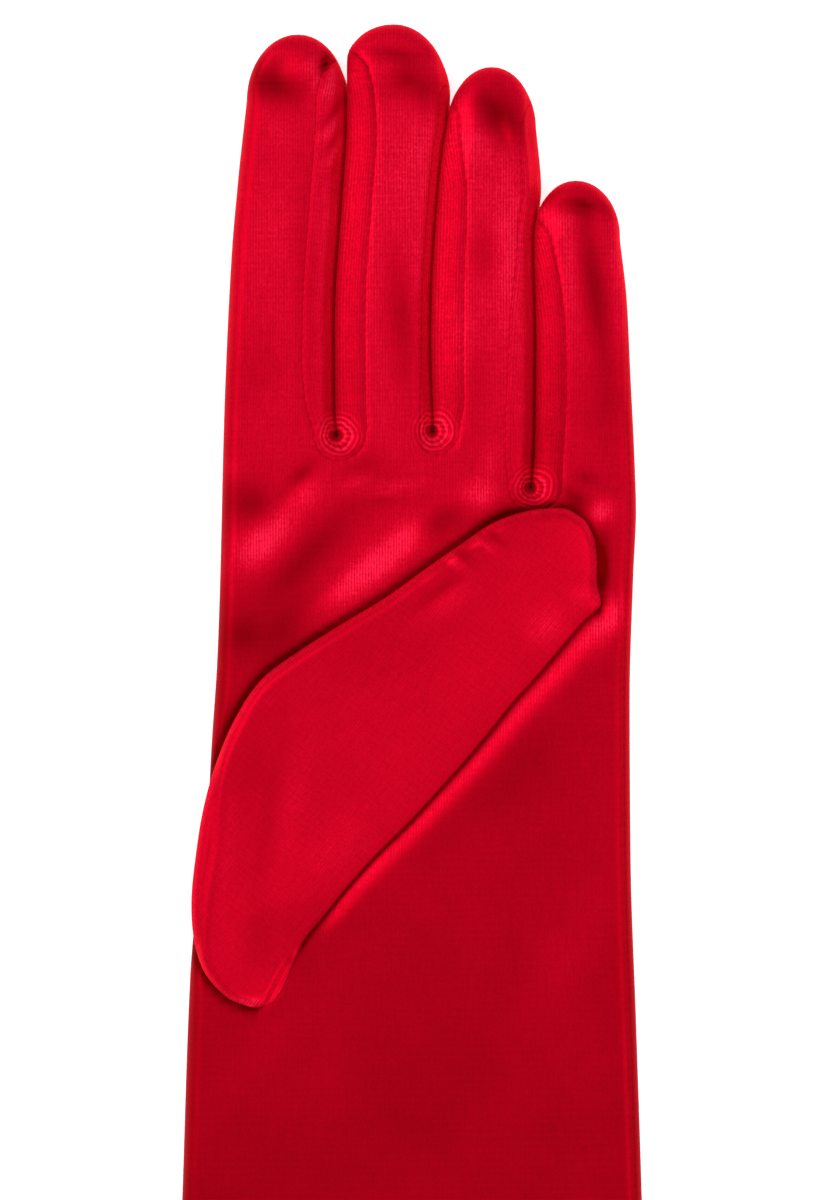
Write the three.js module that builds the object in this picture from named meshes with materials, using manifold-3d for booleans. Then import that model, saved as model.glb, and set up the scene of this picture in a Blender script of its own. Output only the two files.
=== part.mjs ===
import * as THREE from 'three';
import { mergeVertices } from 'three/addons/utils/BufferGeometryUtils.js';
import Module from 'manifold-3d';

const wasm = await Module();
wasm.setup();

// A long satin dress glove for the left hand, lying flat with the palm up. Lengths are in millimetres.
// x runs across the glove with the index finger at -x, y from the hem up to the fingertips, z upwards.
// In the tables "down" is the distance below the middle fingertip, measured along the glove.

const GLOVE_LENGTH = 530;
const CLOTH = 1;
const HEM_CLOTH = 1.7;
const HEM_DEPTH = 12;
const PIECE_GAP = 0.42;
const SLIT_RADIUS = 0.35;

const FOLD_HEIGHT = 3.6;
const PALM_RISE = 4.4;
const FRONT_ROLL = 9;
const UNDER_ROLL = 4;
const TIP_RISE_SHARE = 0.85;
const TIP_FADE = 18;

const THUMB_THICK = 4.4;
const THUMB_ROLL = 2.4;
const THUMB_GAP = 0.5;
const THUMB_SEAT_LOW = 7.3;
const THUMB_HOLE = { x: -28, down: 170, across: 15, along: 34, turn: 0.12 };

const SATIN = { color: 0xbc031c, roughness: 0.42, metalness: 0 };

function table(names, rows) {
  return rows.map((row) => Object.fromEntries(names.map((name, i) => [name, row[i]])));
}

// The outline of the lying glove: the folded side by the index finger, and the sewn side by the little one.
const INDEX_SIDE = table(['down', 'x'], [
  [15.6, -32.8], [32, -34.6], [48.5, -36], [81.5, -37.5], [114.4, -38.3], [131, -38.9], [147.4, -40],
  [168, -41.2], [180.4, -43.1], [196.8, -44.5], [241.9, -46.1], [530, -56],
]);
const LITTLE_SIDE = table(['down', 'x'], [
  [44.4, 44.1], [56.8, 45.5], [73.2, 46.3], [89.7, 47.1], [100, 47.4], [114.4, 46.8], [139.2, 46.1],
  [172, 46.3], [205, 47.4], [241.9, 48.6], [530, 56],
]);

// Where each pair of neighbouring fingers meets, and how deep the slit between them runs.
// "arch" is the breadth of the fourchette round the bottom of the slit, "wide" its breadth on a finger.
const ALONG = ['down', 'x'];
const BREADTH = ['down', 'wide'];
const SLITS = [
  {
    name: 'index_middle',
    bottom: 84.8,
    arch: 4.9,
    line: table(ALONG, [[11.4, -12], [20, -11.9], [36.2, -12.9], [60.9, -14.4], [79.4, -14.3], [84.8, -13.8]]),
    left: table(BREADTH, [[7.3, 3.3], [15.6, 6.2], [24, 7.6], [36, 8], [57, 7.6], [77.4, 6.2], [84.8, 4.7]]),
    right: table(BREADTH, [[5, 3], [15.6, 5.4], [36, 6.2], [57, 6.8], [69, 7.4], [77.4, 7.2], [84.8, 5.4]]),
  },
  {
    name: 'middle_ring',
    bottom: 83.9,
    arch: 4.6,
    line: table(ALONG, [[12.5, 8.9], [19.7, 9], [23.8, 7.7], [36, 6.7], [56.8, 5.5], [65, 5.4], [83.9, 6]]),
    left: table(BREADTH, [[12.5, 1.6], [65, 1.6], [77.4, 2.5], [83.9, 2.9]]),
    right: table(BREADTH, [[15.6, 1.6], [22, 2.5], [28, 3.9], [36.2, 5.6], [57, 6.2], [77.4, 6], [83.9, 4.7]]),
  },
  {
    name: 'ring_little',
    bottom: 95.5,
    arch: 4.5,
    line: table(ALONG, [[20.7, 26.6], [34, 27.7], [44.4, 26.6], [65, 27], [85.6, 26.8], [95.5, 26.2]]),
    left: table(BREADTH, [[15.6, 1.6], [28, 3.7], [44.4, 3.6], [61, 5.4], [77.4, 6.2], [86, 6.6], [95.5, 4.9]]),
    right: table(BREADTH, [[39.2, 1.6], [48.5, 3.9], [57, 5.1], [73.2, 6], [89.7, 5.4], [95.5, 5.6]]),
  },
];

// The rounded ends: where each tip is, and how far down its left and right shoulders reach.
const FINGERS = table(['name', 'tipX', 'tipDown', 'leftShoulder', 'rightShoulder'], [
  ['index', -22.2, 2.1, 13.5, 13.5],
  ['middle', -2.5, 0, 7.5, 15],
  ['ring', 17.7, 8.8, 11, 12],
  ['little', 35, 32.2, 7.5, 11.5],
]);

// Soft hollows pressed into the upper cloth. "turn" is the angle of the long way from x, in degrees.
const HOLLOWS = table(['x', 'down', 'long', 'short', 'turn', 'deep'], [
  [-26.5, 10.5, 4, 3, 60, 0.6],
  [1, 6, 6, 1.8, -15, 0.7],
  [19, 21, 6, 2, 110, 0.6],
  [36, 39, 5, 1.8, -20, 0.6],
  [-26.5, 96, 9, 4, 35, 0.5],
  [-7.4, 110, 20, 5, 40, 0.8],
  [25, 112, 9, 5, 20, 0.5],
]);

// The thumb folded across the palm: its upper edge and its lower, creased edge, from the lobe to the tip.
const THUMB_EDGES = table(['upperX', 'upperDown', 'lowerX', 'lowerDown'], [
  [-33, 201.7, -31, 201.8],
  [-37.5, 199.3, -27.2, 201.2],
  [-41.2, 195, -25, 197.2],
  [-43.3, 188.5, -23, 192.6],
  [-43.9, 180, -20.6, 188],
  [-42.9, 170, -16.5, 183],
  [-41.4, 161, -11.6, 177.1],
  [-39, 152.5, -5.8, 170.7],
  [-35, 143, 0.8, 164.2],
  [-29.6, 134.9, 6.4, 158.1],
  [-21.8, 129, 11.6, 152.3],
  [-12.8, 123.3, 16.8, 146.2],
  [-4.3, 118.2, 21.9, 139.8],
  [3.9, 112.3, 27.2, 134],
  [11.5, 107, 32.1, 128.2],
  [17.3, 103.1, 36.4, 123.2],
  [22.6, 101, 39.9, 119.8],
  [27.6, 100, 39.3, 115.5],
  [32.8, 100, 39.3, 110.5],
  [36.2, 102, 38.8, 106.6],
]);
const LOBE_PLEAT = { x: -25.6, down: 197, long: 7, short: 1.6, turn: 60, deep: 1 };

// How the surface is divided: rows along the fingers and the palm, and points across each stretch.
const TIP_ROWS = [0.25, 0.9, 2, 3.6, 5.8, 8.6, 12];
const FINGER_ROWS = 9;
const SIDE_TOP = [1, 0.45, 0.14];
const SIDE_UNDER = [0.4, 1];
const UNDER_SEAM = 2.4;
const TIP_SEAM_SHARE = 0.3;
const OUTER_SIDE_WIDE = 4.5;
const FINGER_ACROSS = 4;
const FINGER_UNDER_ACROSS = 2;
const ARCH_STEPS = 6;
const KNUCKLE_DOWN = 106;
const KNUCKLE_ROWS = 3;
const HAND_ROWS = [112, 119, 127, 136, 147, 159, 172, 186, 200, 220];
const SLEEVE_ROWS = 7;
const HAND_ACROSS = 16;
const UNDER_ACROSS = 6;

const radians = (degrees) => degrees * Math.PI / 180;
const mix = (a, b, share) => a + (b - a) * share;
const clamp01 = (value) => Math.min(1, Math.max(0, value));
const range = (count) => Array.from({ length: count }, (_, i) => i);
const yAt = (down) => GLOVE_LENGTH / 2 - down;

// A smooth curve through a table's rows that doesn't overshoot them.
function smoothCurve(rows, key) {
  const at = rows.map((row) => row.down);
  const value = rows.map((row) => row[key]);
  const slope = at.slice(1).map((down, i) => (value[i + 1] - value[i]) / (down - at[i]));
  const tangent = at.map((_, i) => {
    if (i === 0) return slope[0];
    if (i === at.length - 1) return slope[i - 1];
    if (slope[i - 1] * slope[i] <= 0) return 0;
    return 2 * slope[i - 1] * slope[i] / (slope[i - 1] + slope[i]);
  });
  return (down) => {
    if (down <= at[0]) return value[0];
    if (down >= at[at.length - 1]) return value[at.length - 1];
    const i = at.findIndex((next) => next > down) - 1;
    const span = at[i + 1] - at[i];
    const t = (down - at[i]) / span;
    const rise = (3 - 2 * t) * t * t;
    const lead = t * (1 - t) * (1 - t) * tangent[i];
    const tail = t * t * (1 - t) * tangent[i + 1];
    return mix(value[i], value[i + 1], rise) + span * (lead - tail);
  };
}

const indexSide = smoothCurve(INDEX_SIDE, 'x');
const littleSide = smoothCurve(LITTLE_SIDE, 'x');
const slits = SLITS.map((slit) => ({
  ...slit,
  x: smoothCurve(slit.line, 'x'),
  leftWide: smoothCurve(slit.left, 'wide'),
  rightWide: smoothCurve(slit.right, 'wide'),
}));

// A finger's edge is the shared slit or outline, drawn in to the tip along a quarter of an ellipse.
function roundedEdge(finger, shoulder, straight) {
  return (down) => {
    const share = clamp01((down - finger.tipDown) / shoulder);
    return mix(finger.tipX, straight(down), Math.sqrt(1 - (1 - share) ** 2));
  };
}

const fingers = FINGERS.map((finger, i) => {
  const leftSlit = slits[i - 1];
  const rightSlit = slits[i];
  const leftLine = leftSlit ? (down) => leftSlit.x(down) + SLIT_RADIUS : indexSide;
  const rightLine = rightSlit ? (down) => rightSlit.x(down) - SLIT_RADIUS : littleSide;
  const baseLeft = leftSlit ? leftSlit.bottom : rightSlit.bottom;
  const baseRight = rightSlit ? rightSlit.bottom : leftSlit.bottom;
  return {
    ...finger,
    leftSlit,
    rightSlit,
    baseLeft,
    baseRight,
    leftEdge: roundedEdge(finger, finger.leftShoulder, leftLine),
    rightEdge: roundedEdge(finger, finger.rightShoulder, rightLine),
  };
});

// The whole outline as one chain of plan points, from the hem round every finger and back to the hem.
const OUTLINE_STEP = 2.5;

function edgePoints(edge, from, to) {
  const steps = Math.ceil(Math.abs(to - from) / OUTLINE_STEP);
  return range(steps + 1).map((i) => {
    const down = mix(from, to, Math.sin(i / steps * Math.PI / 2) ** 2);
    return { x: edge(down), down };
  });
}

function slitTurn(slit) {
  return [150, 120, 90, 60, 30].map((degrees) => ({
    x: slit.x(slit.bottom) + SLIT_RADIUS * Math.cos(radians(degrees)),
    down: slit.bottom + SLIT_RADIUS * Math.sin(radians(degrees)),
  }));
}

const outline = [
  { x: indexSide(GLOVE_LENGTH), down: GLOVE_LENGTH },
  ...edgePoints(indexSide, 240, fingers[0].baseLeft),
  ...fingers.flatMap((finger) => [
    ...edgePoints(finger.leftEdge, finger.baseLeft, finger.tipDown),
    ...edgePoints(finger.rightEdge, finger.tipDown, finger.baseRight),
    ...(finger.rightSlit ? slitTurn(finger.rightSlit) : []),
  ]),
  ...edgePoints(littleSide, fingers[3].baseRight, 240),
  { x: littleSide(GLOVE_LENGTH), down: GLOVE_LENGTH },
];

function distanceToChain(chain, x, down) {
  let best = Infinity;
  for (let i = 1; i < chain.length; i += 1) {
    const from = chain[i - 1];
    const runX = chain[i].x - from.x;
    const runDown = chain[i].down - from.down;
    const length2 = runX * runX + runDown * runDown;
    const share = length2 ? clamp01(((x - from.x) * runX + (down - from.down) * runDown) / length2) : 0;
    best = Math.min(best, Math.hypot(x - from.x - share * runX, down - from.down - share * runDown));
  }
  return best;
}

// The rolled edge of a lying tube of cloth: 0 on the outline, 1 once it is "roll" away from it.
function rolled(distance, roll) {
  return Math.sqrt(1 - (1 - clamp01(distance / roll)) ** 2);
}

function hollowDepth(hollow, x, down) {
  const cos = Math.cos(radians(hollow.turn));
  const sin = Math.sin(radians(hollow.turn));
  const along = (x - hollow.x) * cos - (down - hollow.down) * sin;
  const across = (x - hollow.x) * sin + (down - hollow.down) * cos;
  return hollow.deep * Math.exp(-((along / hollow.long) ** 2) - (across / hollow.short) ** 2);
}

function nearTip(x, down) {
  return Math.min(...fingers.map((finger) => Math.hypot(x - finger.tipX, down - finger.tipDown)));
}

// Height of the glove's skin over a plan point, on the palm side ("top"), under it, or on its outline.
function skinHeight(x, down, side) {
  if (side === 'edge') return FOLD_HEIGHT;
  const distance = distanceToChain(outline, x, down);
  if (side === 'under') return FOLD_HEIGHT * (1 - rolled(distance, UNDER_ROLL));
  const rise = PALM_RISE * mix(TIP_RISE_SHARE, 1, clamp01(nearTip(x, down) / TIP_FADE));
  const pressed = HOLLOWS.reduce((sum, hollow) => sum + hollowDepth(hollow, x, down), 0);
  return FOLD_HEIGHT + rolled(distance, FRONT_ROLL) * (rise - pressed);
}

// A skin is a sheet of triangles with shared corners, each marked with the piece that it belongs to.
class Skin {
  constructor() {
    this.points = [];
    this.places = new Map();
    this.faces = [];
  }

  point(x, y, z) {
    const key = [x, y, z].map((value) => Math.round(value * 1e4)).join();
    if (!this.places.has(key)) {
      this.places.set(key, this.points.length);
      this.points.push(new THREE.Vector3(x, y, z));
    }
    return this.places.get(key);
  }

  face(piece, a, b, c) {
    if (a !== b && b !== c && c !== a) this.faces.push({ piece, corners: [a, b, c] });
  }

  // Rows of the same count of points, given from the tips down and from -x to +x on the palm side.
  grid(piece, rows) {
    for (let i = 1; i < rows.length; i += 1) {
      for (let j = 1; j < rows[i].length; j += 1) {
        this.face(piece, rows[i - 1][j - 1], rows[i][j - 1], rows[i][j]);
        this.face(piece, rows[i - 1][j - 1], rows[i][j], rows[i - 1][j]);
      }
    }
  }

  // Joins two rows with different counts of points, stepping along whichever lags behind.
  bridge(piece, upper, lower) {
    const progress = (row, i) => {
      const start = this.points[row[0]].x;
      const end = this.points[row[row.length - 1]].x;
      return (this.points[row[i]].x - start) / (end - start);
    };
    let i = 0;
    let j = 0;
    while (i < upper.length - 1 || j < lower.length - 1) {
      const upperNext = i < upper.length - 1 ? progress(upper, i + 1) : Infinity;
      const lowerNext = j < lower.length - 1 ? progress(lower, j + 1) : Infinity;
      if (upperNext < lowerNext) {
        this.face(piece, upper[i], lower[j], upper[i + 1]);
        i += 1;
      } else {
        this.face(piece, upper[i], lower[j], lower[j + 1]);
        j += 1;
      }
    }
  }

  normals() {
    const normals = this.points.map(() => new THREE.Vector3());
    for (const { corners: [a, b, c] } of this.faces) {
      const [pa, pb, pc] = [a, b, c].map((i) => this.points[i]);
      const across = new THREE.Vector3().subVectors(pb, pa).cross(new THREE.Vector3().subVectors(pc, pa));
      for (const i of [a, b, c]) normals[i].add(across);
    }
    return normals.map((normal) => normal.normalize());
  }

  // One piece of the skin as a closed wall of cloth, drawn back a little where it meets another piece.
  wall(piece, thickness) {
    const normals = this.normals();
    const own = this.faces.filter((face) => face.piece === piece);
    const shared = new Set(this.faces.filter((face) => face.piece !== piece).flatMap((face) => face.corners));
    const middles = new Map();
    for (const { corners } of own) {
      const middle = corners.reduce((sum, i) => sum.add(this.points[i]), new THREE.Vector3()).divideScalar(3);
      for (const i of corners) {
        const entry = middles.get(i) ?? { sum: new THREE.Vector3(), count: 0 };
        entry.sum.add(middle);
        entry.count += 1;
        middles.set(i, entry);
      }
    }
    const number = new Map([...middles.keys()].map((key, i) => [key, i]));
    const count = number.size;
    const positions = new Float32Array(count * 6);
    for (const [key, { sum, count: faces }] of middles) {
      const outer = this.points[key].clone();
      if (shared.has(key)) {
        const inward = sum.clone().divideScalar(faces).sub(outer).normalize();
        outer.addScaledVector(inward, PIECE_GAP / 2);
      }
      const inner = outer.clone().addScaledVector(normals[key], -thickness(outer));
      inner.y = Math.max(inner.y, yAt(GLOVE_LENGTH));
      outer.toArray(positions, number.get(key) * 3);
      inner.toArray(positions, (number.get(key) + count) * 3);
    }
    const triangles = [];
    const rims = new Map();
    for (const { corners } of own) {
      const [a, b, c] = corners.map((i) => number.get(i));
      triangles.push(a, b, c, a + count, c + count, b + count);
      for (const [from, to] of [[a, b], [b, c], [c, a]]) {
        if (!rims.delete(`${to},${from}`)) rims.set(`${from},${to}`, [from, to]);
      }
    }
    for (const [from, to] of rims.values()) {
      triangles.push(from, from + count, to, to, from + count, to + count);
    }
    const geometry = new THREE.BufferGeometry();
    geometry.setAttribute('position', new THREE.BufferAttribute(positions, 3));
    geometry.setIndex(triangles);
    return geometry;
  }
}

// The hand and sleeve with the three fourchettes, as one skin whose faces are marked piece by piece.
const HAND = 'hand_and_sleeve';
const fourchetteName = (slit) => `fourchette_${slit.name}`;
const skin = new Skin();
const place = ({ x, down, side }) => skin.point(x, yAt(down), skinHeight(x, down, side));

// The points across one side of a finger, from its upper seam over the edge to its lower seam.
function sidePoints(edgeX, down, wide, inward) {
  const under = Math.min(wide, UNDER_SEAM);
  const at = (distance, side) => ({ x: edgeX + inward * distance, down, side });
  return [
    ...SIDE_TOP.map((share) => at(share * wide, 'top')),
    at(0, 'edge'),
    ...SIDE_UNDER.map((share) => at(share * under, 'under')),
  ];
}

function between(from, to, count) {
  return range(count - 1).map((i) => ({
    x: mix(from.x, to.x, (i + 1) / count),
    down: mix(from.down, to.down, (i + 1) / count),
    side: from.side,
  }));
}

// One row round a finger. Its left and right ends slide down to the bottoms of their own slits.
function fingerRow(finger, share) {
  const leftDown = mix(finger.tipDown, finger.baseLeft, share);
  const rightDown = mix(finger.tipDown, finger.baseRight, share);
  const leftX = finger.leftEdge(leftDown);
  const rightX = finger.rightEdge(rightDown);
  const most = TIP_SEAM_SHARE * (rightX - leftX);
  const leftWide = finger.leftSlit ? finger.leftSlit.rightWide(leftDown) : OUTER_SIDE_WIDE;
  const rightWide = finger.rightSlit ? finger.rightSlit.leftWide(rightDown) : OUTER_SIDE_WIDE;
  const left = sidePoints(leftX, leftDown, Math.min(leftWide, most), 1);
  const right = sidePoints(rightX, rightDown, Math.min(rightWide, most), -1);
  return {
    left,
    right,
    front: [left[0], ...between(left[0], right[0], FINGER_ACROSS), right[0]],
    back: [right.at(-1), ...between(right.at(-1), left.at(-1), FINGER_UNDER_ACROSS), left.at(-1)],
  };
}

function fingerShares(finger) {
  const length = Math.max(finger.baseLeft, finger.baseRight) - finger.tipDown;
  const tip = TIP_ROWS.map((down) => down / length);
  const last = tip.at(-1);
  return [...tip, ...range(FINGER_ROWS).map((i) => mix(last, 1, (i + 1) / FINGER_ROWS))];
}

function buildFinger(finger) {
  const rows = fingerShares(finger).map((share) => fingerRow(finger, share));
  const laid = rows.map((row) => ({
    front: row.front.map(place),
    back: row.back.map(place),
    left: row.left.map(place),
    right: row.right.map(place),
  }));
  const tip = place({ x: finger.tipX, down: finger.tipDown, side: 'edge' });
  const whole = ({ front, right, back, left }) => [
    ...front, ...right.slice(1), ...back.slice(1), ...left.toReversed().slice(1),
  ];
  const first = whole(laid[0]);
  skin.grid(HAND, [first.map(() => tip), first]);
  skin.grid(HAND, laid.map((row) => row.front));
  skin.grid(HAND, laid.map((row) => row.back));
  return { ...finger, rows, laid };
}

// The first row of a side that has a fourchette: above it the hand's own cloth closes the fingertip.
function fourchetteStart(side, built) {
  const key = side === 'left' ? 'leftSlit' : 'rightSlit';
  const widths = side === 'left' ? built[key].right : built[key].left;
  return built.rows.findIndex((row) => row[side][0].down >= widths[0].down);
}

function buildSide(side, built) {
  const strip = built.laid.map((row) => row[side]);
  const hasSlit = side === 'left' ? built.leftSlit : built.rightSlit;
  const end = hasSlit ? fourchetteStart(side, built) + 1 : strip.length;
  const tipPart = strip.slice(0, end);
  skin.grid(HAND, side === 'left' ? tipPart.map((row) => row.toReversed()) : tipPart);
}

// The arch of a fourchette round the bottom of its slit, from the left finger's side to the right one's.
function archRows(slit) {
  return range(ARCH_STEPS - 1).map((i) => {
    const turn = Math.PI * (1 - (i + 1) / ARCH_STEPS);
    const legs = turn > Math.PI / 2 ? slit.leftWide(slit.bottom) : slit.rightWide(slit.bottom);
    const wide = mix(legs, slit.arch, Math.sin(turn) ** 2);
    return sidePoints(SLIT_RADIUS, 0, wide, 1).map(({ x: reach, side }) => ({
      x: slit.x(slit.bottom) + reach * Math.cos(turn),
      down: slit.bottom + reach * Math.sin(turn),
      side,
    }));
  });
}

function buildFourchette(slit, leftFinger, rightFinger, arch) {
  const leftLeg = leftFinger.laid.slice(fourchetteStart('right', leftFinger)).map((row) => row.right);
  const rightLeg = rightFinger.laid.slice(fourchetteStart('left', rightFinger)).map((row) => row.left);
  const bend = arch.map((row) => row.map(place));
  skin.grid(fourchetteName(slit), [...leftLeg, ...bend, ...rightLeg.toReversed()]);
}

// A row of the palm below the fingers: the finger bases and arches, slid down to one level row.
function knuckleRow(points, share) {
  const first = points[0];
  const last = points.at(-1);
  return points.map((point) => {
    const down = mix(point.down, KNUCKLE_DOWN, share);
    const across = (point.x - first.x) / (last.x - first.x);
    const side = point === first || point === last ? 'edge' : point.side;
    return { x: mix(indexSide(down), littleSide(down), across), down, side };
  });
}

function buildKnuckles(built, arches) {
  const last = built.map((finger) => finger.rows.at(-1));
  const edgeAt = SIDE_TOP.length;
  const lastUnder = last.at(-1).right.slice(edgeAt, -1).toReversed();
  const front = built.flatMap((finger, i) => [
    ...(i === 0 ? last[0].left.slice(1, edgeAt + 1).toReversed() : []),
    ...last[i].front,
    ...(i < arches.length ? arches[i].map((row) => row[0]) : last[i].right.slice(1, edgeAt + 1)),
  ]);
  const back = built.flatMap((finger, i) => [
    ...(i === 0 ? last[0].left.slice(edgeAt, -1) : []),
    ...last[i].back.toReversed(),
    ...(i < arches.length ? arches[i].map((row) => row.at(-1)) : lastUnder),
  ]);
  const shares = range(KNUCKLE_ROWS + 1).map((i) => i / KNUCKLE_ROWS);
  const frontRows = shares.map((share) => (share ? knuckleRow(front, share) : front).map(place));
  const backRows = shares.map((share) => (share ? knuckleRow(back, share) : back).map(place));
  skin.grid(HAND, frontRows);
  skin.grid(HAND, backRows.map((row) => row.toReversed()));
  return { front: frontRows.at(-1), back: backRows.at(-1) };
}

// A level row of the hand or sleeve, from the folded side to the sewn side.
function levelRow(down, side, count) {
  const left = indexSide(down);
  const right = littleSide(down);
  const roll = side === 'top' ? FRONT_ROLL : UNDER_ROLL;
  const margins = [0.06, 0.3, 0.65].map((share) => share * roll);
  const inner = range(count + 1).map((i) => mix(left + roll, right - roll, i / count));
  const xs = [...margins.map((m) => left + m), ...inner, ...margins.toReversed().map((m) => right - m)];
  return [
    { x: left, down, side: 'edge' },
    ...xs.map((x) => ({ x, down, side })),
    { x: right, down, side: 'edge' },
  ].map(place);
}

function buildHandAndSleeve(knuckles) {
  const lastHand = HAND_ROWS.at(-1);
  const hemStart = GLOVE_LENGTH - HEM_DEPTH;
  const sleeve = range(SLEEVE_ROWS).map((i) => mix(lastHand, hemStart, (i + 1) / SLEEVE_ROWS));
  const downs = [...HAND_ROWS, ...sleeve, hemStart + 1, GLOVE_LENGTH];
  const front = downs.map((down) => levelRow(down, 'top', HAND_ACROSS));
  const back = downs.map((down) => levelRow(down, 'under', UNDER_ACROSS));
  skin.bridge(HAND, knuckles.front, front[0]);
  skin.bridge(HAND, knuckles.back.toReversed(), back[0].toReversed());
  skin.grid(HAND, front);
  skin.grid(HAND, back.map((row) => row.toReversed()));
}

const built = fingers.map(buildFinger);
built.forEach((finger) => buildSide('left', finger));
built.forEach((finger) => buildSide('right', finger));
const arches = slits.map(archRows);
slits.forEach((slit, i) => buildFourchette(slit, built[i], built[i + 1], arches[i]));
buildHandAndSleeve(buildKnuckles(built, arches));

// The cloth is doubled where the sleeve's end is turned in for the hem.
function handCloth(point) {
  return point.y < yAt(GLOVE_LENGTH - HEM_DEPTH) ? HEM_CLOTH : CLOTH;
}

// The thumb is a flat tube that lies on the palm and hangs a little over the folded side.
const THUMB = 'thumb';
const THUMB_ACROSS = [0.018, 0.055, 0.2, 0.4, 0.6, 0.8, 0.945, 0.982];
const thumbChain = [
  ...THUMB_EDGES.map((row) => ({ x: row.upperX, down: row.upperDown })),
  ...THUMB_EDGES.toReversed().map((row) => ({ x: row.lowerX, down: row.lowerDown })),
  { x: THUMB_EDGES[0].upperX, down: THUMB_EDGES[0].upperDown },
];

function thumbSeat(x, down) {
  const palm = FOLD_HEIGHT + PALM_RISE * rolled(Math.max(0, x - indexSide(down)), FRONT_ROLL);
  return Math.max(palm, THUMB_SEAT_LOW) + THUMB_GAP;
}

function thumbPoint(thumbSkin, row, share, side) {
  const x = mix(row.upperX, row.lowerX, share);
  const down = mix(row.upperDown, row.lowerDown, share);
  const full = side === 'edge' ? 0 : rolled(distanceToChain(thumbChain, x, down), THUMB_ROLL);
  const pressed = side === 'top' ? hollowDepth(LOBE_PLEAT, x, down) * full : 0;
  const half = THUMB_THICK / 2;
  const z = thumbSeat(x, down) + half + (side === 'under' ? -half : half) * full - pressed;
  return thumbSkin.point(x, yAt(down), z);
}

function buildThumb() {
  const thumbSkin = new Skin();
  const ring = (row) => [
    thumbPoint(thumbSkin, row, 0, 'edge'),
    ...THUMB_ACROSS.map((share) => thumbPoint(thumbSkin, row, share, 'top')),
    thumbPoint(thumbSkin, row, 1, 'edge'),
    ...THUMB_ACROSS.toReversed().map((share) => thumbPoint(thumbSkin, row, share, 'under')),
    thumbPoint(thumbSkin, row, 0, 'edge'),
  ];
  const rows = THUMB_EDGES.map(ring);
  const pole = (row) => {
    const at = thumbPoint(thumbSkin, row, 0.5, 'edge');
    return range(rows[0].length).map(() => at);
  };
  thumbSkin.grid(THUMB, [pole(THUMB_EDGES.at(-1)), ...rows.toReversed(), pole(THUMB_EDGES[0])]);
  return thumbSkin.wall(THUMB, () => CLOTH);
}

// The thumb opening: an upright oval cutter, used through the palm's cloth and the thumb's lower cloth.
function thumbCutter() {
  const oval = new THREE.Shape();
  oval.absellipse(0, 0, THUMB_HOLE.across / 2, THUMB_HOLE.along / 2, 0, 2 * Math.PI, false, THUMB_HOLE.turn);
  const low = FOLD_HEIGHT;
  const high = FOLD_HEIGHT + PALM_RISE + THUMB_GAP + THUMB_THICK / 2;
  const upright = { depth: high - low, bevelEnabled: false, curveSegments: 7 };
  const geometry = new THREE.ExtrudeGeometry(oval, upright);
  geometry.translate(THUMB_HOLE.x, yAt(THUMB_HOLE.down), low);
  return geometry;
}

function toSolid(geometry) {
  const bare = geometry.clone();
  bare.deleteAttribute('normal');
  bare.deleteAttribute('uv');
  const merged = mergeVertices(bare, 1e-4);
  const mesh = new wasm.Mesh({
    numProp: 3,
    vertProperties: new Float32Array(merged.attributes.position.array),
    triVerts: new Uint32Array(merged.index.array),
  });
  return new wasm.Manifold(mesh);
}

function toGeometry(solid) {
  const mesh = solid.getMesh();
  const geometry = new THREE.BufferGeometry();
  geometry.setAttribute('position', new THREE.BufferAttribute(Float32Array.from(mesh.vertProperties), 3));
  geometry.setIndex(new THREE.BufferAttribute(Uint32Array.from(mesh.triVerts), 1));
  return geometry;
}

const cutter = toSolid(thumbCutter());
const glove = new THREE.Group();

function addPiece(name, geometry) {
  const piece = new THREE.Mesh(geometry, new THREE.MeshStandardMaterial(SATIN));
  piece.name = name;
  glove.add(piece);
}

addPiece(HAND, toGeometry(toSolid(skin.wall(HAND, handCloth)).subtract(cutter)));
slits.forEach((slit) => addPiece(fourchetteName(slit), skin.wall(fourchetteName(slit), () => CLOTH)));
addPiece(THUMB, toGeometry(toSolid(buildThumb()).subtract(cutter)));

export default glove;
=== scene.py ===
# %% [markdown]
# # A long satin glove
# The glove lies flat with its palm up, and its thumb is folded across the palm. This lesson makes
# its cloth in Blender over a model that already holds the right sizes: one large cut for the hand
# and sleeve, three narrow strips between the fingers, and the thumb.
# The first cell loads that model and keeps its meshes, each in its place in the world.

# %% Load the model
import math

import bpy
import numpy as np
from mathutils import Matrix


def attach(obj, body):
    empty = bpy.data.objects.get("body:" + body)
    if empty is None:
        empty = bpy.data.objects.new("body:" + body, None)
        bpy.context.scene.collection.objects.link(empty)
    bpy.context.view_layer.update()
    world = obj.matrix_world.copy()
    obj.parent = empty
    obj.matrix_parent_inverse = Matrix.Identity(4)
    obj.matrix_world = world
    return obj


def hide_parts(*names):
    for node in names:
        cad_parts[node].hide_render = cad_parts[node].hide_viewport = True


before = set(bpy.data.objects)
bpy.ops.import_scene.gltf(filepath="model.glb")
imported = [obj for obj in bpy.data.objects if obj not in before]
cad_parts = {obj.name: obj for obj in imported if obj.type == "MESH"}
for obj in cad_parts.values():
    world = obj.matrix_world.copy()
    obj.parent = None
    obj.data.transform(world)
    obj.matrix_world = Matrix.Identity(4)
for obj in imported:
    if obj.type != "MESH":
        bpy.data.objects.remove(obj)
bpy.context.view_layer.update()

# %% [markdown]
# ## Camera, floor and light
# A photograph of a lying glove is taken from straight above. The camera looks down on the hand and
# the first part of the sleeve, and the rest of the sleeve runs out of the picture at the bottom.
# A long lens keeps the edges of the glove from leaning outwards.

# %% Look down on the hand
MM = 0.001
GLOVE_LENGTH = 530.0
FOLD_HEIGHT = 3.6
VIEW_CENTRE = (1.96, 146.4)
VIEW_HEIGHT = 247.2
LENS = 100.0
SENSOR = 36.0

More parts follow.
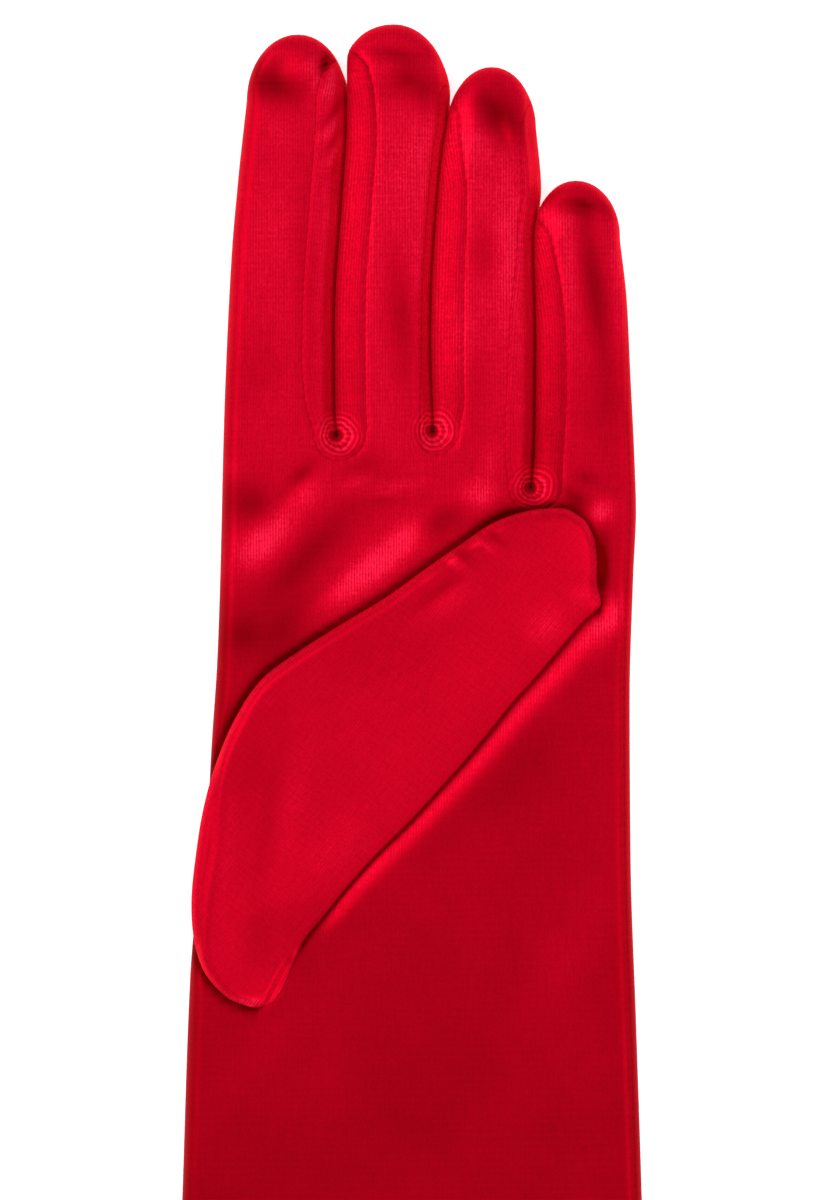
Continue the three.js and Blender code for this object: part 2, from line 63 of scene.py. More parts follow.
camera_data = bpy.data.cameras.new("camera")
camera_data.lens = LENS
camera_data.sensor_width = SENSOR
camera = bpy.data.objects.new("camera", camera_data)
bpy.context.scene.collection.objects.link(camera)
camera_rise = VIEW_HEIGHT * LENS / SENSOR + FOLD_HEIGHT
camera.location = (VIEW_CENTRE[0] * MM, VIEW_CENTRE[1] * MM, camera_rise * MM)
bpy.context.scene.camera = camera
print("the camera is", round(camera.location.z, 3), "metres above the floor")

# %% [markdown]
# Satin shows its folds only where a light has an edge to reflect. One large soft light from the
# upper left gives the cloth its bright slopes, a weaker one from the lower right keeps the other
# slopes from going black, and the white floor glows a little, as a lit studio table does.

# %% Lay the floor and hang the lights
def soft_light(name, place, aim, size, power):
    data = bpy.data.lights.new(name, "AREA")
    data.shape = "DISK"
    data.size = size
    data.energy = power
    light = bpy.data.objects.new(name, data)
    light.location = place
    towards = [a - p for a, p in zip(aim, place)]
    flat = math.hypot(towards[0], towards[1])
    light.rotation_euler = (math.atan2(flat, -towards[2]), 0, math.atan2(-towards[0], towards[1]))
    bpy.context.scene.collection.objects.link(light)


HAND_CENTRE = (0.0, 0.14, 0.0)
soft_light("key_light", (-1.0, 0.6, 1.2), HAND_CENTRE, 1.0, 12.5)
soft_light("fill_light", (0.95, -0.45, 1.1), HAND_CENTRE, 0.9, 9.5)

world = bpy.data.worlds.new("studio")
world.use_nodes = True
world.node_tree.nodes["Background"].inputs["Color"].default_value = (1.0, 0.99, 0.98, 1.0)
world.node_tree.nodes["Background"].inputs["Strength"].default_value = 0.46
bpy.context.scene.world = world
bpy.context.scene.view_settings.view_transform = "Standard"

bpy.ops.object.select_all(action="DESELECT")
bpy.ops.mesh.primitive_plane_add(size=6.0, location=(0, 0, -0.0002))
floor = bpy.context.object
floor.name = "floor"
table_white = bpy.data.materials.new("table_white")
table_white.use_nodes = True
shader = table_white.node_tree.nodes["Principled BSDF"]
shader.inputs["Base Color"].default_value = (0.9, 0.9, 0.9, 1.0)
shader.inputs["Roughness"].default_value = 0.9
shader.inputs["Emission Color"].default_value = (1.0, 1.0, 1.0, 1.0)
shader.inputs["Emission Strength"].default_value = 0.75
floor.data.materials.append(table_white)

# %% [markdown]
# ## The outline of the glove
# A glove cutter works from a paper pattern. Here the pattern is the outline of the lying glove, as
# a few measured places joined by smooth curves. "Down" is the distance below the middle fingertip
# and x runs from the index finger's side to the little finger's side, both in millimetres.

# %% Smooth curves through a few places
def smooth_curve(*places):
    at, value = np.array(places, float).T
    slope = np.diff(value) / np.diff(at)
    before, after = slope[:-1], slope[1:]
    agree = before * after > 0
    total = np.where(agree, before + after, 1)
    middle = np.where(agree, 2 * before * after / total, 0)
    tangent = np.concatenate(([slope[0]], middle, [slope[-1]]))

    def curve(down):
        down = np.clip(down, at[0], at[-1])
        i = np.clip(np.searchsorted(at, down, side="right") - 1, 0, len(at) - 2)
        span = at[i + 1] - at[i]
        t = (down - at[i]) / span
        rise = value[i] + (value[i + 1] - value[i]) * (3 - 2 * t) * t * t
        return rise + span * (t * (1 - t) ** 2 * tangent[i] - t * t * (1 - t) * tangent[i + 1])

    return curve


index_side = smooth_curve(
    (15.6, -32.8), (32, -34.6), (48.5, -36), (81.5, -37.5), (114.4, -38.3), (131, -38.9),
    (147.4, -40), (168, -41.2), (180.4, -43.1), (196.8, -44.5), (241.9, -46.1), (530, -56))
little_side = smooth_curve(
    (44.4, 44.1), (56.8, 45.5), (73.2, 46.3), (89.7, 47.1), (100, 47.4), (114.4, 46.8),
    (139.2, 46.1), (172, 46.3), (205, 47.4), (241.9, 48.6), (530, 56))
print("width over the knuckles:", round(float(little_side(100) - index_side(100)), 1), "mm")

# %% [markdown]
# Between two fingers runs a slit. Each slit is lined by a fourchette, a strip that turns round the
# slit's end, and the strip's breadth on either finger is where its seam shows.

# %% The slits and their strips
SLIT_HALF = 0.13
SLIT_END_HALF = 0.2
SLIT_END_LENGTH = 1.8


def bell(distance, breadth):
    """1 at distance 0, falling to nothing a few breadths away."""
    return np.exp(-(distance / breadth) ** 2)


class Slit:
    """A slit between two fingers. The places of its tables are (down, x) or (down, breadth)."""

    def __init__(self, name, bottom, arch, line, left, right):
        self.name = name
        self.bottom = bottom
        self.arch = arch
        self.x = smooth_curve(*line)
        self.left_breadth = smooth_curve(*left)
        self.right_breadth = smooth_curve(*right)
        self.left_start = left[0][0]
        self.right_start = right[0][0]

    def half(self, down):
        """Half the slit's width: next to nothing, opening to a small round hole at its end."""
        near_end = bell(np.minimum(down, self.bottom) - self.bottom, SLIT_END_LENGTH)
        return SLIT_HALF + (SLIT_END_HALF - SLIT_HALF) * near_end


slits = [
    Slit("index_middle", 84.8, 4.9,
         line=((11.4, -12), (20, -11.9), (36.2, -12.9), (60.9, -14.4), (79.4, -14.3), (84.8, -13.8)),
         left=((7.3, 3.3), (15.6, 6.2), (24, 7.6), (36, 8), (57, 7.6), (77.4, 6.2), (84.8, 4.7)),
         right=((5, 3), (15.6, 5.4), (36, 6.2), (57, 6.8), (69, 7.4), (77.4, 7.2), (84.8, 5.4))),
    Slit("middle_ring", 83.9, 4.6,
         line=((12.5, 9), (19.7, 8.8), (25.5, 7.9), (36, 6.8), (56.8, 5.5), (65, 5.4), (83.9, 6)),
         left=((12.5, 1.6), (65, 1.6), (77.4, 2.5), (83.9, 2.9)),
         right=((15.6, 1.6), (22, 2.5), (28, 3.9), (36.2, 5.6), (57, 6.2), (77.4, 6), (83.9, 4.7))),
    Slit("ring_little", 95.5, 4.5,
         line=((20.7, 26.6), (34, 27.7), (44.4, 26.6), (65, 27), (85.6, 26.8), (95.5, 26.2)),
         left=((15.6, 1.6), (28, 3.7), (44.4, 3.6), (61, 5.4), (77.4, 6.2), (86, 6.6), (95.5, 4.9)),
         right=((39.2, 1.6), (48.5, 3.9), (57, 5.1), (73.2, 6), (89.7, 5.4), (95.5, 5.6))),
]
print("slits end at", [slit.bottom for slit in slits], "mm below the middle fingertip")

# %% [markdown]
# A fingertip is closed by drawing both edges of the finger in to one point along a quarter of an
# ellipse, so every finger is its slits or sides plus a tip and two shoulders.

# %% The fingers
class Finger:
    def __init__(self, name, tip_x, tip_down, left_shoulder, right_shoulder, left_slit, right_slit):
        self.name = name
        self.tip_x = tip_x
        self.tip_down = tip_down
        self.left_slit = left_slit
        self.right_slit = right_slit
        self.shoulders = (left_shoulder, right_shoulder)
        self.base_left = (left_slit or right_slit).bottom
        self.base_right = (right_slit or left_slit).bottom

    def edge(self, down, shoulder, straight):
        share = np.clip((down - self.tip_down) / shoulder, 0, 1)
        return self.tip_x + (straight - self.tip_x) * np.sqrt(1 - (1 - share) ** 2)

    def left_edge(self, down):
        slit = self.left_slit
        line = slit.x(down) + slit.half(down) if slit else index_side(down)
        return self.edge(down, self.shoulders[0], line)

    def right_edge(self, down):
        slit = self.right_slit
        line = slit.x(down) - slit.half(down) if slit else little_side(down)
        return self.edge(down, self.shoulders[1], line)


fingers = [
    Finger("index", -22.2, 2.1, 13.5, 13.5, None, slits[0]),
    Finger("middle", -2.5, 0, 7.5, 15, slits[0], slits[1]),
    Finger("ring", 17.7, 8.8, 11, 12, slits[1], slits[2]),
    Finger("little", 35, 32.2, 7.5, 11.5, slits[2], None),
]
for finger in fingers:
    wide = finger.right_edge(60) - finger.left_edge(60)
    print(finger.name, "finger is", round(float(wide), 1), "mm wide lying flat")

# %% [markdown]
# Across a finger, the points crowd where the cloth turns over its edge and where a seam lies, and
# spread where it is flat. One row goes clockwise round the finger: over the palm side, round the
# right edge, back under the finger and up round the left edge. A row slides down on each side
# towards the end of that side's slit, so its two ends are at different heights.

# %% Rows round a finger
class Cut:
    """The places of one cut: rows from the fingertips down, columns clockwise round the glove."""

    def __init__(self, x, down, under):
        self.x, self.down, self.under = np.broadcast_arrays(x, down, under)

    def part(self, *place):
        return Cut(self.x[place], self.down[place], self.under[place])

    def points(self):
        return np.stack([self.x, self.down], axis=-1).reshape(-1, 2)


SIDE_TOP_POINTS = 12
SIDE_UNDER_POINTS = 6
FRONT_POINTS = 21
BACK_POINTS = 8
FINGER_ROWS = 96
TIP_ROWS = 14
TIP_LENGTH = 12.0
UNDER_SEAM = 2.4
TIP_SEAM_SHARE = 0.3
OUTER_SIDE_BREADTH = 4.5
POINT_LENGTH = 3.5
POINT_SHARE = 0.015
SIDE_TOP = 0.45 * np.linspace(1, 0, SIDE_TOP_POINTS) ** 2 + 0.55 * np.linspace(1, 0, SIDE_TOP_POINTS)
SIDE_UNDER = np.linspace(0, 1, SIDE_UNDER_POINTS)[1:] ** 1.5
SIDE_SHARES = np.concatenate([SIDE_TOP, SIDE_UNDER])
SIDE_IS_UNDER = np.arange(len(SIDE_SHARES)) >= SIDE_TOP_POINTS


def side_reach(breadth):
    """How far each place of a side strip is from the finger's edge, seam first."""
    breadth = np.asarray(breadth, float)[:, None]
    return SIDE_SHARES * np.where(SIDE_IS_UNDER, np.minimum(breadth, UNDER_SEAM), breadth)


def spread(start, end, count):
    """Columns from one seam to the other, a little closer together at both."""
    t = np.linspace(0, 1, count)
    t = 0.55 * t + 0.45 * (3 - 2 * t) * t * t
    return start[:, None] + (end - start)[:, None] * t


def finger_shares(finger):
    length = max(finger.base_left, finger.base_right) - finger.tip_down
    tip = np.linspace(0, 1, TIP_ROWS) ** 1.6 * TIP_LENGTH / length
    return np.concatenate([tip, np.linspace(tip[-1], 1, FINGER_ROWS - TIP_ROWS + 1)[1:]])


def strip_row(slit_start, down):
    """The first row at or below the place where a strip begins."""
    return int(np.argmax(down >= slit_start))


def pointed(breadth, start, down):
    """The breadth of a strip, which comes to a point over its first few millimetres."""
    below = down - down[strip_row(start, down)]
    return breadth(down) * np.sqrt(np.clip(below / POINT_LENGTH, POINT_SHARE, 1))


def finger_cuts(finger):
    share = finger_shares(finger)
    left_down = finger.tip_down + (finger.base_left - finger.tip_down) * share
    right_down = finger.tip_down + (finger.base_right - finger.tip_down) * share
    left, right = finger.left_edge(left_down), finger.right_edge(right_down)
    most = TIP_SEAM_SHARE * (right - left)
    plain = np.full(len(share), OUTER_SIDE_BREADTH)
    left_breadth = right_breadth = plain
    if finger.left_slit:
        left_breadth = pointed(finger.left_slit.right_breadth, finger.left_slit.right_start, left_down)
    if finger.right_slit:
        right_breadth = pointed(finger.right_slit.left_breadth, finger.right_slit.left_start, right_down)
    left_side = left[:, None] + side_reach(np.minimum(left_breadth, most))
    right_side = right[:, None] - side_reach(np.minimum(right_breadth, most))
    front = spread(left_side[:, 0], right_side[:, 0], FRONT_POINTS)
    back = spread(right_side[:, -1], left_side[:, -1], BACK_POINTS)
    slide = np.linspace(0, 1, FRONT_POINTS) * (right_down - left_down)[:, None]
    back_slide = np.linspace(1, 0, BACK_POINTS) * (right_down - left_down)[:, None]
    return {
        "front": Cut(front, left_down[:, None] + slide, False),
        "back": Cut(back, left_down[:, None] + back_slide, True),
        "right": Cut(right_side, right_down[:, None], SIDE_IS_UNDER),
        "left": Cut(left_side[:, ::-1], left_down[:, None], SIDE_IS_UNDER[::-1]),
    }


cuts = {finger.name: finger_cuts(finger) for finger in fingers}
print("a row round a finger has", FRONT_POINTS + BACK_POINTS + 2 * len(SIDE_SHARES) - 4, "places")

# %% [markdown]
# ## The height of the cloth
# The lying glove is a flat tube. Its underside rests on the floor, its edges roll over, and the
# palm side is a low cushion. How far a point is from the outline settles how high its cloth
# lies, so the outline is first laid out as one chain of points, down and up every finger.

# %% The outline as one chain, and the distance to a chain
def plan(x, down):
    return np.stack(np.broadcast_arrays(np.asarray(x, float), np.asarray(down, float)), axis=-1)


def eased(start, end, count):
    return start + (end - start) * np.sin(np.linspace(0, math.pi / 2, count)) ** 2


def slit_turn(slit):
    turn = np.radians(np.linspace(165, 15, 11))
    across, below = SLIT_END_HALF * np.cos(turn), SLIT_END_HALF * np.sin(turn)
    return plan(slit.x(slit.bottom) + across, slit.bottom + below)


def glove_outline():
    left_run = np.linspace(GLOVE_LENGTH, fingers[0].base_left, 120)
    right_run = np.linspace(fingers[3].base_right, GLOVE_LENGTH, 120)
    parts = [plan(index_side(left_run), left_run)]
    for finger in fingers:
        up = eased(finger.base_left, finger.tip_down, 130)
        down = eased(finger.tip_down, finger.base_right, 130)
        parts += [plan(finger.left_edge(up), up), plan(finger.right_edge(down), down)]
        if finger.right_slit:
            parts.append(slit_turn(finger.right_slit))
    parts.append(plan(little_side(right_run), right_run))
    return np.concatenate(parts)


def chain_distance(chain, points):
    """Distance of every point to the chain, and how far along the chain the nearest place is."""
    start = chain[:-1]
    step = np.diff(chain, axis=0)
    length = np.hypot(*step.T)
    keep = length > 1e-9
    start, step, length = start[keep], step[keep], length[keep]
    begun = np.concatenate(([0], np.cumsum(length)[:-1]))
    near = np.empty(len(points))
    along = np.empty(len(points))
    for i in range(0, len(points), 4000):
        away = points[i:i + 4000, None, :] - start[None]
        share = np.clip((away * step).sum(-1) / length ** 2, 0, 1)
        gap = np.hypot(away[..., 0] - share * step[:, 0], away[..., 1] - share * step[:, 1])
        best = gap.argmin(1)
        row = np.arange(len(best))
        near[i:i + 4000] = gap[row, best]
        along[i:i + 4000] = (begun + share * length)[row, best]
    return near, along


outline = glove_outline()
print("the outline has", len(outline), "points")

# %% [markdown]
# A fourchette is a narrow strip cut along the knit. It is sewn in from one fingertip down to the
# slit's end, round it and up to the next fingertip, and comes to a point at both ends. The strips
# are laid out now, because their long edges are also where the seams run. Two more seams close
# the sleeve: one just inside the little finger's side, and the hem's.

# %% Lay out the strips and the seams
OUTER_SEAM_INSET = 1.5
OUTER_SEAM_TOP = 56.0
OUTER_SEAM_SETTLE = 25.0
ARCH_ROWS = 34
FAR = 99.0
HEM_DEPTH = 12.0
HEM_START = GLOVE_LENGTH - HEM_DEPTH


def arch_breadth(slit, turn):
    legs = np.where(turn > math.pi / 2, slit.left_breadth(slit.bottom), slit.right_breadth(slit.bottom))
    return legs + (slit.arch - legs) * np.sin(turn) ** 2


def arch_row(slit, turn, reach):
    x = slit.x(slit.bottom) + (SLIT_END_HALF + reach) * np.cos(turn)
    return x, slit.bottom + (SLIT_END_HALF + reach) * np.sin(turn)


def side_start(finger, side):
    """The first row of a finger's side that belongs to the strip there."""
    start = finger.left_slit.right_start if side == "left" else finger.right_slit.left_start
    return strip_row(start, cuts[finger.name][side].down[:, 0])


def fourchette_cut(slit, left_finger, right_finger):
    down_leg = cuts[left_finger.name]["right"].part(slice(side_start(left_finger, "right"), None))
    up_leg = cuts[right_finger.name]["left"].part(slice(side_start(right_finger, "left"), None))
    up_leg = up_leg.part(slice(None, None, -1), slice(None, None, -1))
    turn = np.linspace(math.pi, 0, ARCH_ROWS)[1:-1]
    arch_x, arch_down = arch_row(slit, turn[:, None], side_reach(arch_breadth(slit, turn)))
    x = np.concatenate([down_leg.x, arch_x, up_leg.x])
    return Cut(x, np.concatenate([down_leg.down, arch_down, up_leg.down]), SIDE_IS_UNDER)


def outer_seam():
    down = np.linspace(OUTER_SEAM_TOP, GLOVE_LENGTH, 150)
    settle = np.clip((down - OUTER_SEAM_TOP) / OUTER_SEAM_SETTLE, 0, 1)
    return plan(little_side(down) - OUTER_SEAM_INSET * settle, down)


strips = [fourchette_cut(slit, fingers[i], fingers[i + 1]) for i, slit in enumerate(slits)]
hem_seam = plan(np.linspace(index_side(HEM_START), little_side(HEM_START), 2), HEM_START)
palm_seams = [plan(strip.x[:, 0], strip.down[:, 0]) for strip in strips] + [outer_seam(), hem_seam]
back_seams = [plan(strip.x[:, -1], strip.down[:, -1]) for strip in strips] + [hem_seam]


def seam_distance(points, seams):
    near = np.full(len(points), FAR)
    along = np.zeros(len(points))
    for chain in seams:
        distance, run = chain_distance(chain, points)
        closer = distance < near
        near = np.where(closer, distance, near)
        along = np.where(closer, run, along)
    return near, along


seam_lengths = [round(float(np.hypot(*np.diff(seam, axis=0).T).sum())) for seam in palm_seams]
print("seams:", seam_lengths, "mm long")

# %% [markdown]
# ## The place of the thumb
# The folded thumb lies across the palm and presses into it, most along its creased lower edge.
# So its two edges are measured here, before the height of the palm is worked out. Each row of the
# table crosses the thumb, from its soft upper edge to the crease.

# %% The thumb's edges and its bed in the palm
THUMB_EDGES = np.array((
    # upper x, upper down, lower x, lower down
    (-32.3, 201.7, -29.5, 201.8), (-36.6, 199.8, -27.4, 201), (-41, 195, -25.1, 197.9),
    (-43.3, 188.5, -23, 192.6), (-43.9, 180, -20.6, 188), (-42.9, 170, -16.5, 183),
    (-41.4, 161, -11.6, 177.1), (-39, 152.5, -5.8, 170.7), (-35, 143, 0.8, 164.2),
    (-29.6, 134.9, 6.4, 158.1), (-21.8, 129, 11.6, 152.3), (-12.8, 123.3, 16.8, 146.2),
    (-4.3, 118.2, 21.9, 139.8), (3.9, 112.3, 27.2, 134), (11.5, 107, 32.1, 128.2),
    (17.3, 103.1, 36.4, 123.2), (22.6, 101, 39.9, 119.8), (27.6, 100, 39.3, 115.5),
    (32.8, 100, 39.3, 110.5), (36.2, 102, 38.8, 106.6)))
CREASE_ROWS = slice(29, 106)
TIP_CREASE_ROW = 105
END_ROUNDING = 0.3
END_ROWS = 6
BED_DEEP = 1.6
BED_NARROW = 1.7
BED_WIDE = 4.6
BED_TAPER = 14.0
BED_FADE_UNDER = 15.0
BED_BLEND = 1.6
RIM_DEEP = 0.7
RIM_BROAD = 1.3


def rounded_end(row, next_row):
    """Rows that close one end of the thumb along half an ellipse, the end's point first."""
    middle, half = (row[:2] + row[2:]) / 2, (row[2:] - row[:2]) / 2
    outwards = middle - (next_row[:2] + next_row[2:]) / 2
    turn = np.linspace(0, math.pi / 2, END_ROWS, endpoint=False)[:, None]
    centre = middle + END_ROUNDING * np.cos(turn) * outwards / np.hypot(*outwards)
    return np.hstack([centre - half * np.sin(turn), centre + half * np.sin(turn)])


def thumb_edges(steps):
    """The edge table drawn as a smooth curve with as many rows as asked, rounded at both ends."""
    table = THUMB_EDGES
    padded = np.vstack([2 * table[0] - table[1], table, 2 * table[-1] - table[-2]])
    place = np.linspace(0, len(table) - 1, steps)
    i = np.minimum(place.astype(int), len(table) - 2)
    t = (place - i)[:, None]
    a, b, c, d = (padded[i + k] for k in range(4))
    rows = b + t / 2 * (c - a + t * (2 * a - 5 * b + 4 * c - d + t * (3 * (b - c) + d - a)))
    return np.vstack([rounded_end(rows[0], rows[1]), rows, rounded_end(rows[-1], rows[-2])[::-1]])


thumb_lines = thumb_edges(120)
thumb_chain = np.concatenate([thumb_lines[:, :2], thumb_lines[::-1, 2:], thumb_lines[:1, :2]])
crease = thumb_lines[CREASE_ROWS, 2:]
thumb_rim = np.concatenate([thumb_lines[:, :2], thumb_lines[:TIP_CREASE_ROW:-1, 2:]])


def smooth(share):
    """A share from 0 to 1, eased at both ends."""
    return share ** 2 * (3 - 2 * share)


def inside(chain, points):
    """Whether each point is inside a closed chain: a line to its right crosses it an odd number
    of times."""
    odd = np.zeros(len(points), bool)
    for (x, down), (next_x, next_down) in zip(chain[:-1], chain[1:]):
        crosses = (down > points[:, 1]) != (next_down > points[:, 1])
        if down != next_down:
            at = x + (points[:, 1] - down) / (next_down - down) * (next_x - x)
            odd ^= crosses & (points[:, 0] < at)
    return odd


def tight_band(points):
    """Distance from the crease, the band's breadth there, and how much of it its start leaves."""
    low, along = chain_distance(crease, points)
    length = np.hypot(*np.diff(crease, axis=0).T).sum()
    start = np.clip((along + low) / BED_TAPER, 0, 1)
    return low, BED_NARROW + (BED_WIDE - BED_NARROW) * along / length, smooth(start)


def thumb_bed(points, under_thumb=False):
    """How far the palm sinks; the thumb follows only the broad part of it."""
    low, breadth, start = tight_band(points)
    edge, _ = chain_distance(thumb_chain, points)
    covered = np.where(inside(thumb_chain, points), np.clip(edge / BED_BLEND, 0, 1), 0)
    covered = 1 if under_thumb else smooth(covered)
    narrow, broad = bell(low, breadth), bell(low, BED_FADE_UNDER)
    bed = BED_DEEP * (narrow + (broad - narrow) * covered) * start
    return bed + RIM_DEEP * bell(chain_distance(thumb_rim, points)[0], RIM_BROAD)


print("the thumb is", round(float(np.hypot(*(crease[0] - crease[-1])))), "mm long at its crease")

# %% [markdown]
# The hollows and low folds of the soft cloth are pressed in last. Each is a smooth dip or, with a
# negative depth, a ridge: where it lies, how long and broad it is, how its long way is turned
# from x in degrees, and how deep it goes.

# %% Hollows and folds
FOLDS = (
    # x, down, long, short, turn, deep
    (-26.5, 10.5, 4.5, 3.0, 60, 0.9),
    (-16.7, 8.8, 1.8, 1.3, 70, 1.2),
    (-14.4, 18.3, 3.6, 1.1, 52, 0.7),
    (-14.6, 24.3, 3.2, 1.0, 53, 0.5),
    (1.0, 6.6, 6.5, 1.7, -12, 1.0),
    (-1.5, 14.0, 4.0, 2.2, 20, 0.6),
    (19.0, 21.0, 6.0, 1.8, 112, 0.9),
    (14.0, 25.0, 5.0, 2.0, 80, -0.4),
    (36.0, 38.6, 5.0, 1.5, -18, 0.9),
    (33.0, 43.5, 3.5, 2.0, 20, -0.4),
    (-25.5, 98.0, 7.5, 3.2, 47, 0.7),
    (-31.5, 105.0, 9.0, 3.5, 45, -0.5),
    (-7.4, 110.0, 17.0, 4.2, 41, 1.0),
    (-13.0, 117.5, 16.0, 2.8, 40, -0.6),
    (-3.5, 97.5, 4.0, 1.0, 25, 0.4),
    (15.0, 98.0, 8.0, 2.5, 15, -0.4),
    (24.0, 112.0, 9.0, 4.0, 20, 0.6),
    (38.5, 96.0, 5.0, 2.2, -20, -0.5),
)


def soft_spots(points, table):
    """The sum of a table's soft oval spots at every point."""
    total = np.zeros(len(points))
    for x, down, long, short, turn, most in table:
        cos, sin = math.cos(math.radians(turn)), math.sin(math.radians(turn))
        off_x, off_down = points[:, 0] - x, points[:, 1] - down
        along = off_x * cos - off_down * sin
        across = off_x * sin + off_down * cos
        total += most * np.exp(-(along / long) ** 2 - (across / short) ** 2)
    return total


print(len(FOLDS), "folds in the palm and the fingers")

# %% [markdown]
# With the outline, the seams and the folds, the height of any point of the skin is one function.

# %% The height of the skin
PALM_RISE = 4.4
FINGER_ROLL = 6.0
SLEEVE_ROLL = 3.6
ROLL_CHANGE = (95.0, 175.0)
OUTER_REACH = 11.0
OUTER_FADE = 6.0
UNDER_ROLL = 4.0
OUTLINE_SLACK = 0.006
TIP_RISE_SHARE = 0.85
TIP_FADE = 18.0
SEAM_DEEP = 0.13
SEAM_BROAD = 0.6
WAVE_DEEP = 0.045
LEAN = -0.5
LEAN_REACH = 1.6


def side_distances(points):
    """How far each point is from the index finger's side and from the little finger's side."""
    x, down = points.T
    return x - index_side(down), little_side(down) - x


def rolled(distance, roll):
    return np.sqrt(1 - (1 - np.clip(distance / roll, 0, 1)) ** 2)


def front_roll(points):
    """The fingers are round beside their slits; the glove's own two sides are pressed flatter."""
    lower = np.clip((points[:, 1] - ROLL_CHANGE[0]) / (ROLL_CHANGE[1] - ROLL_CHANGE[0]), 0, 1)
    outer = np.clip((OUTER_REACH - np.minimum(*side_distances(points))) / OUTER_FADE, 0, 1)
    share = np.maximum(smooth(lower), smooth(outer))
    return FINGER_ROLL + (SLEEVE_ROLL - FINGER_ROLL) * share


def soft_waves(points):
    """The cloth is never quite flat: long, low waves, mostly along the glove."""
    x, down = points.T
    wave = np.sin(x / 5.3 + 0.6 * np.sin(down / 19)) * np.sin(down / 23 + 1.3)
    wave += 0.6 * np.sin(x / 2.9 + down / 14 + 2.0) * np.sin(down / 9.7 - x / 17)
    return WAVE_DEEP * wave


def skin_height(points, under):
    near = np.maximum(0, chain_distance(outline, points)[0] - OUTLINE_SLACK)
    tips = [np.hypot(points[:, 0] - f.tip_x, points[:, 1] - f.tip_down) for f in fingers]
    tip_share = np.clip(np.min(tips, axis=0) / TIP_FADE, 0, 1)
    rise = PALM_RISE * (TIP_RISE_SHARE + (1 - TIP_RISE_SHARE) * tip_share)
    rise = rise - soft_spots(points, FOLDS) - thumb_bed(points) + soft_waves(points)
    palm_seam, palm_run = seam_distance(points, palm_seams)
    back_seam, back_run = seam_distance(points, back_seams)
    seam, run = np.where(under, back_seam, palm_seam), np.where(under, back_run, palm_run)
    roll = rolled(near, front_roll(points))
    top = FOLD_HEIGHT + roll * rise - SEAM_DEEP * roll * bell(seam, SEAM_BROAD)
    low = FOLD_HEIGHT * (1 - rolled(near, UNDER_ROLL))
    return np.where(under, low, top), seam, run


def lean(points, z):
    """Two fingers that lie against each other lean one way, so no light comes up between them."""
    near = np.full(len(points), FAR)
    for slit in slits:
        down = np.linspace(5, slit.bottom, 80)
        near = np.minimum(near, chain_distance(plan(slit.x(down), down), points)[0])
    return LEAN * (z - FOLD_HEIGHT) * bell(near, LEAN_REACH)


print("palm height:", round(float(skin_height(np.array([(0.0, 150.0)]), False)[0][0]), 2), "mm")
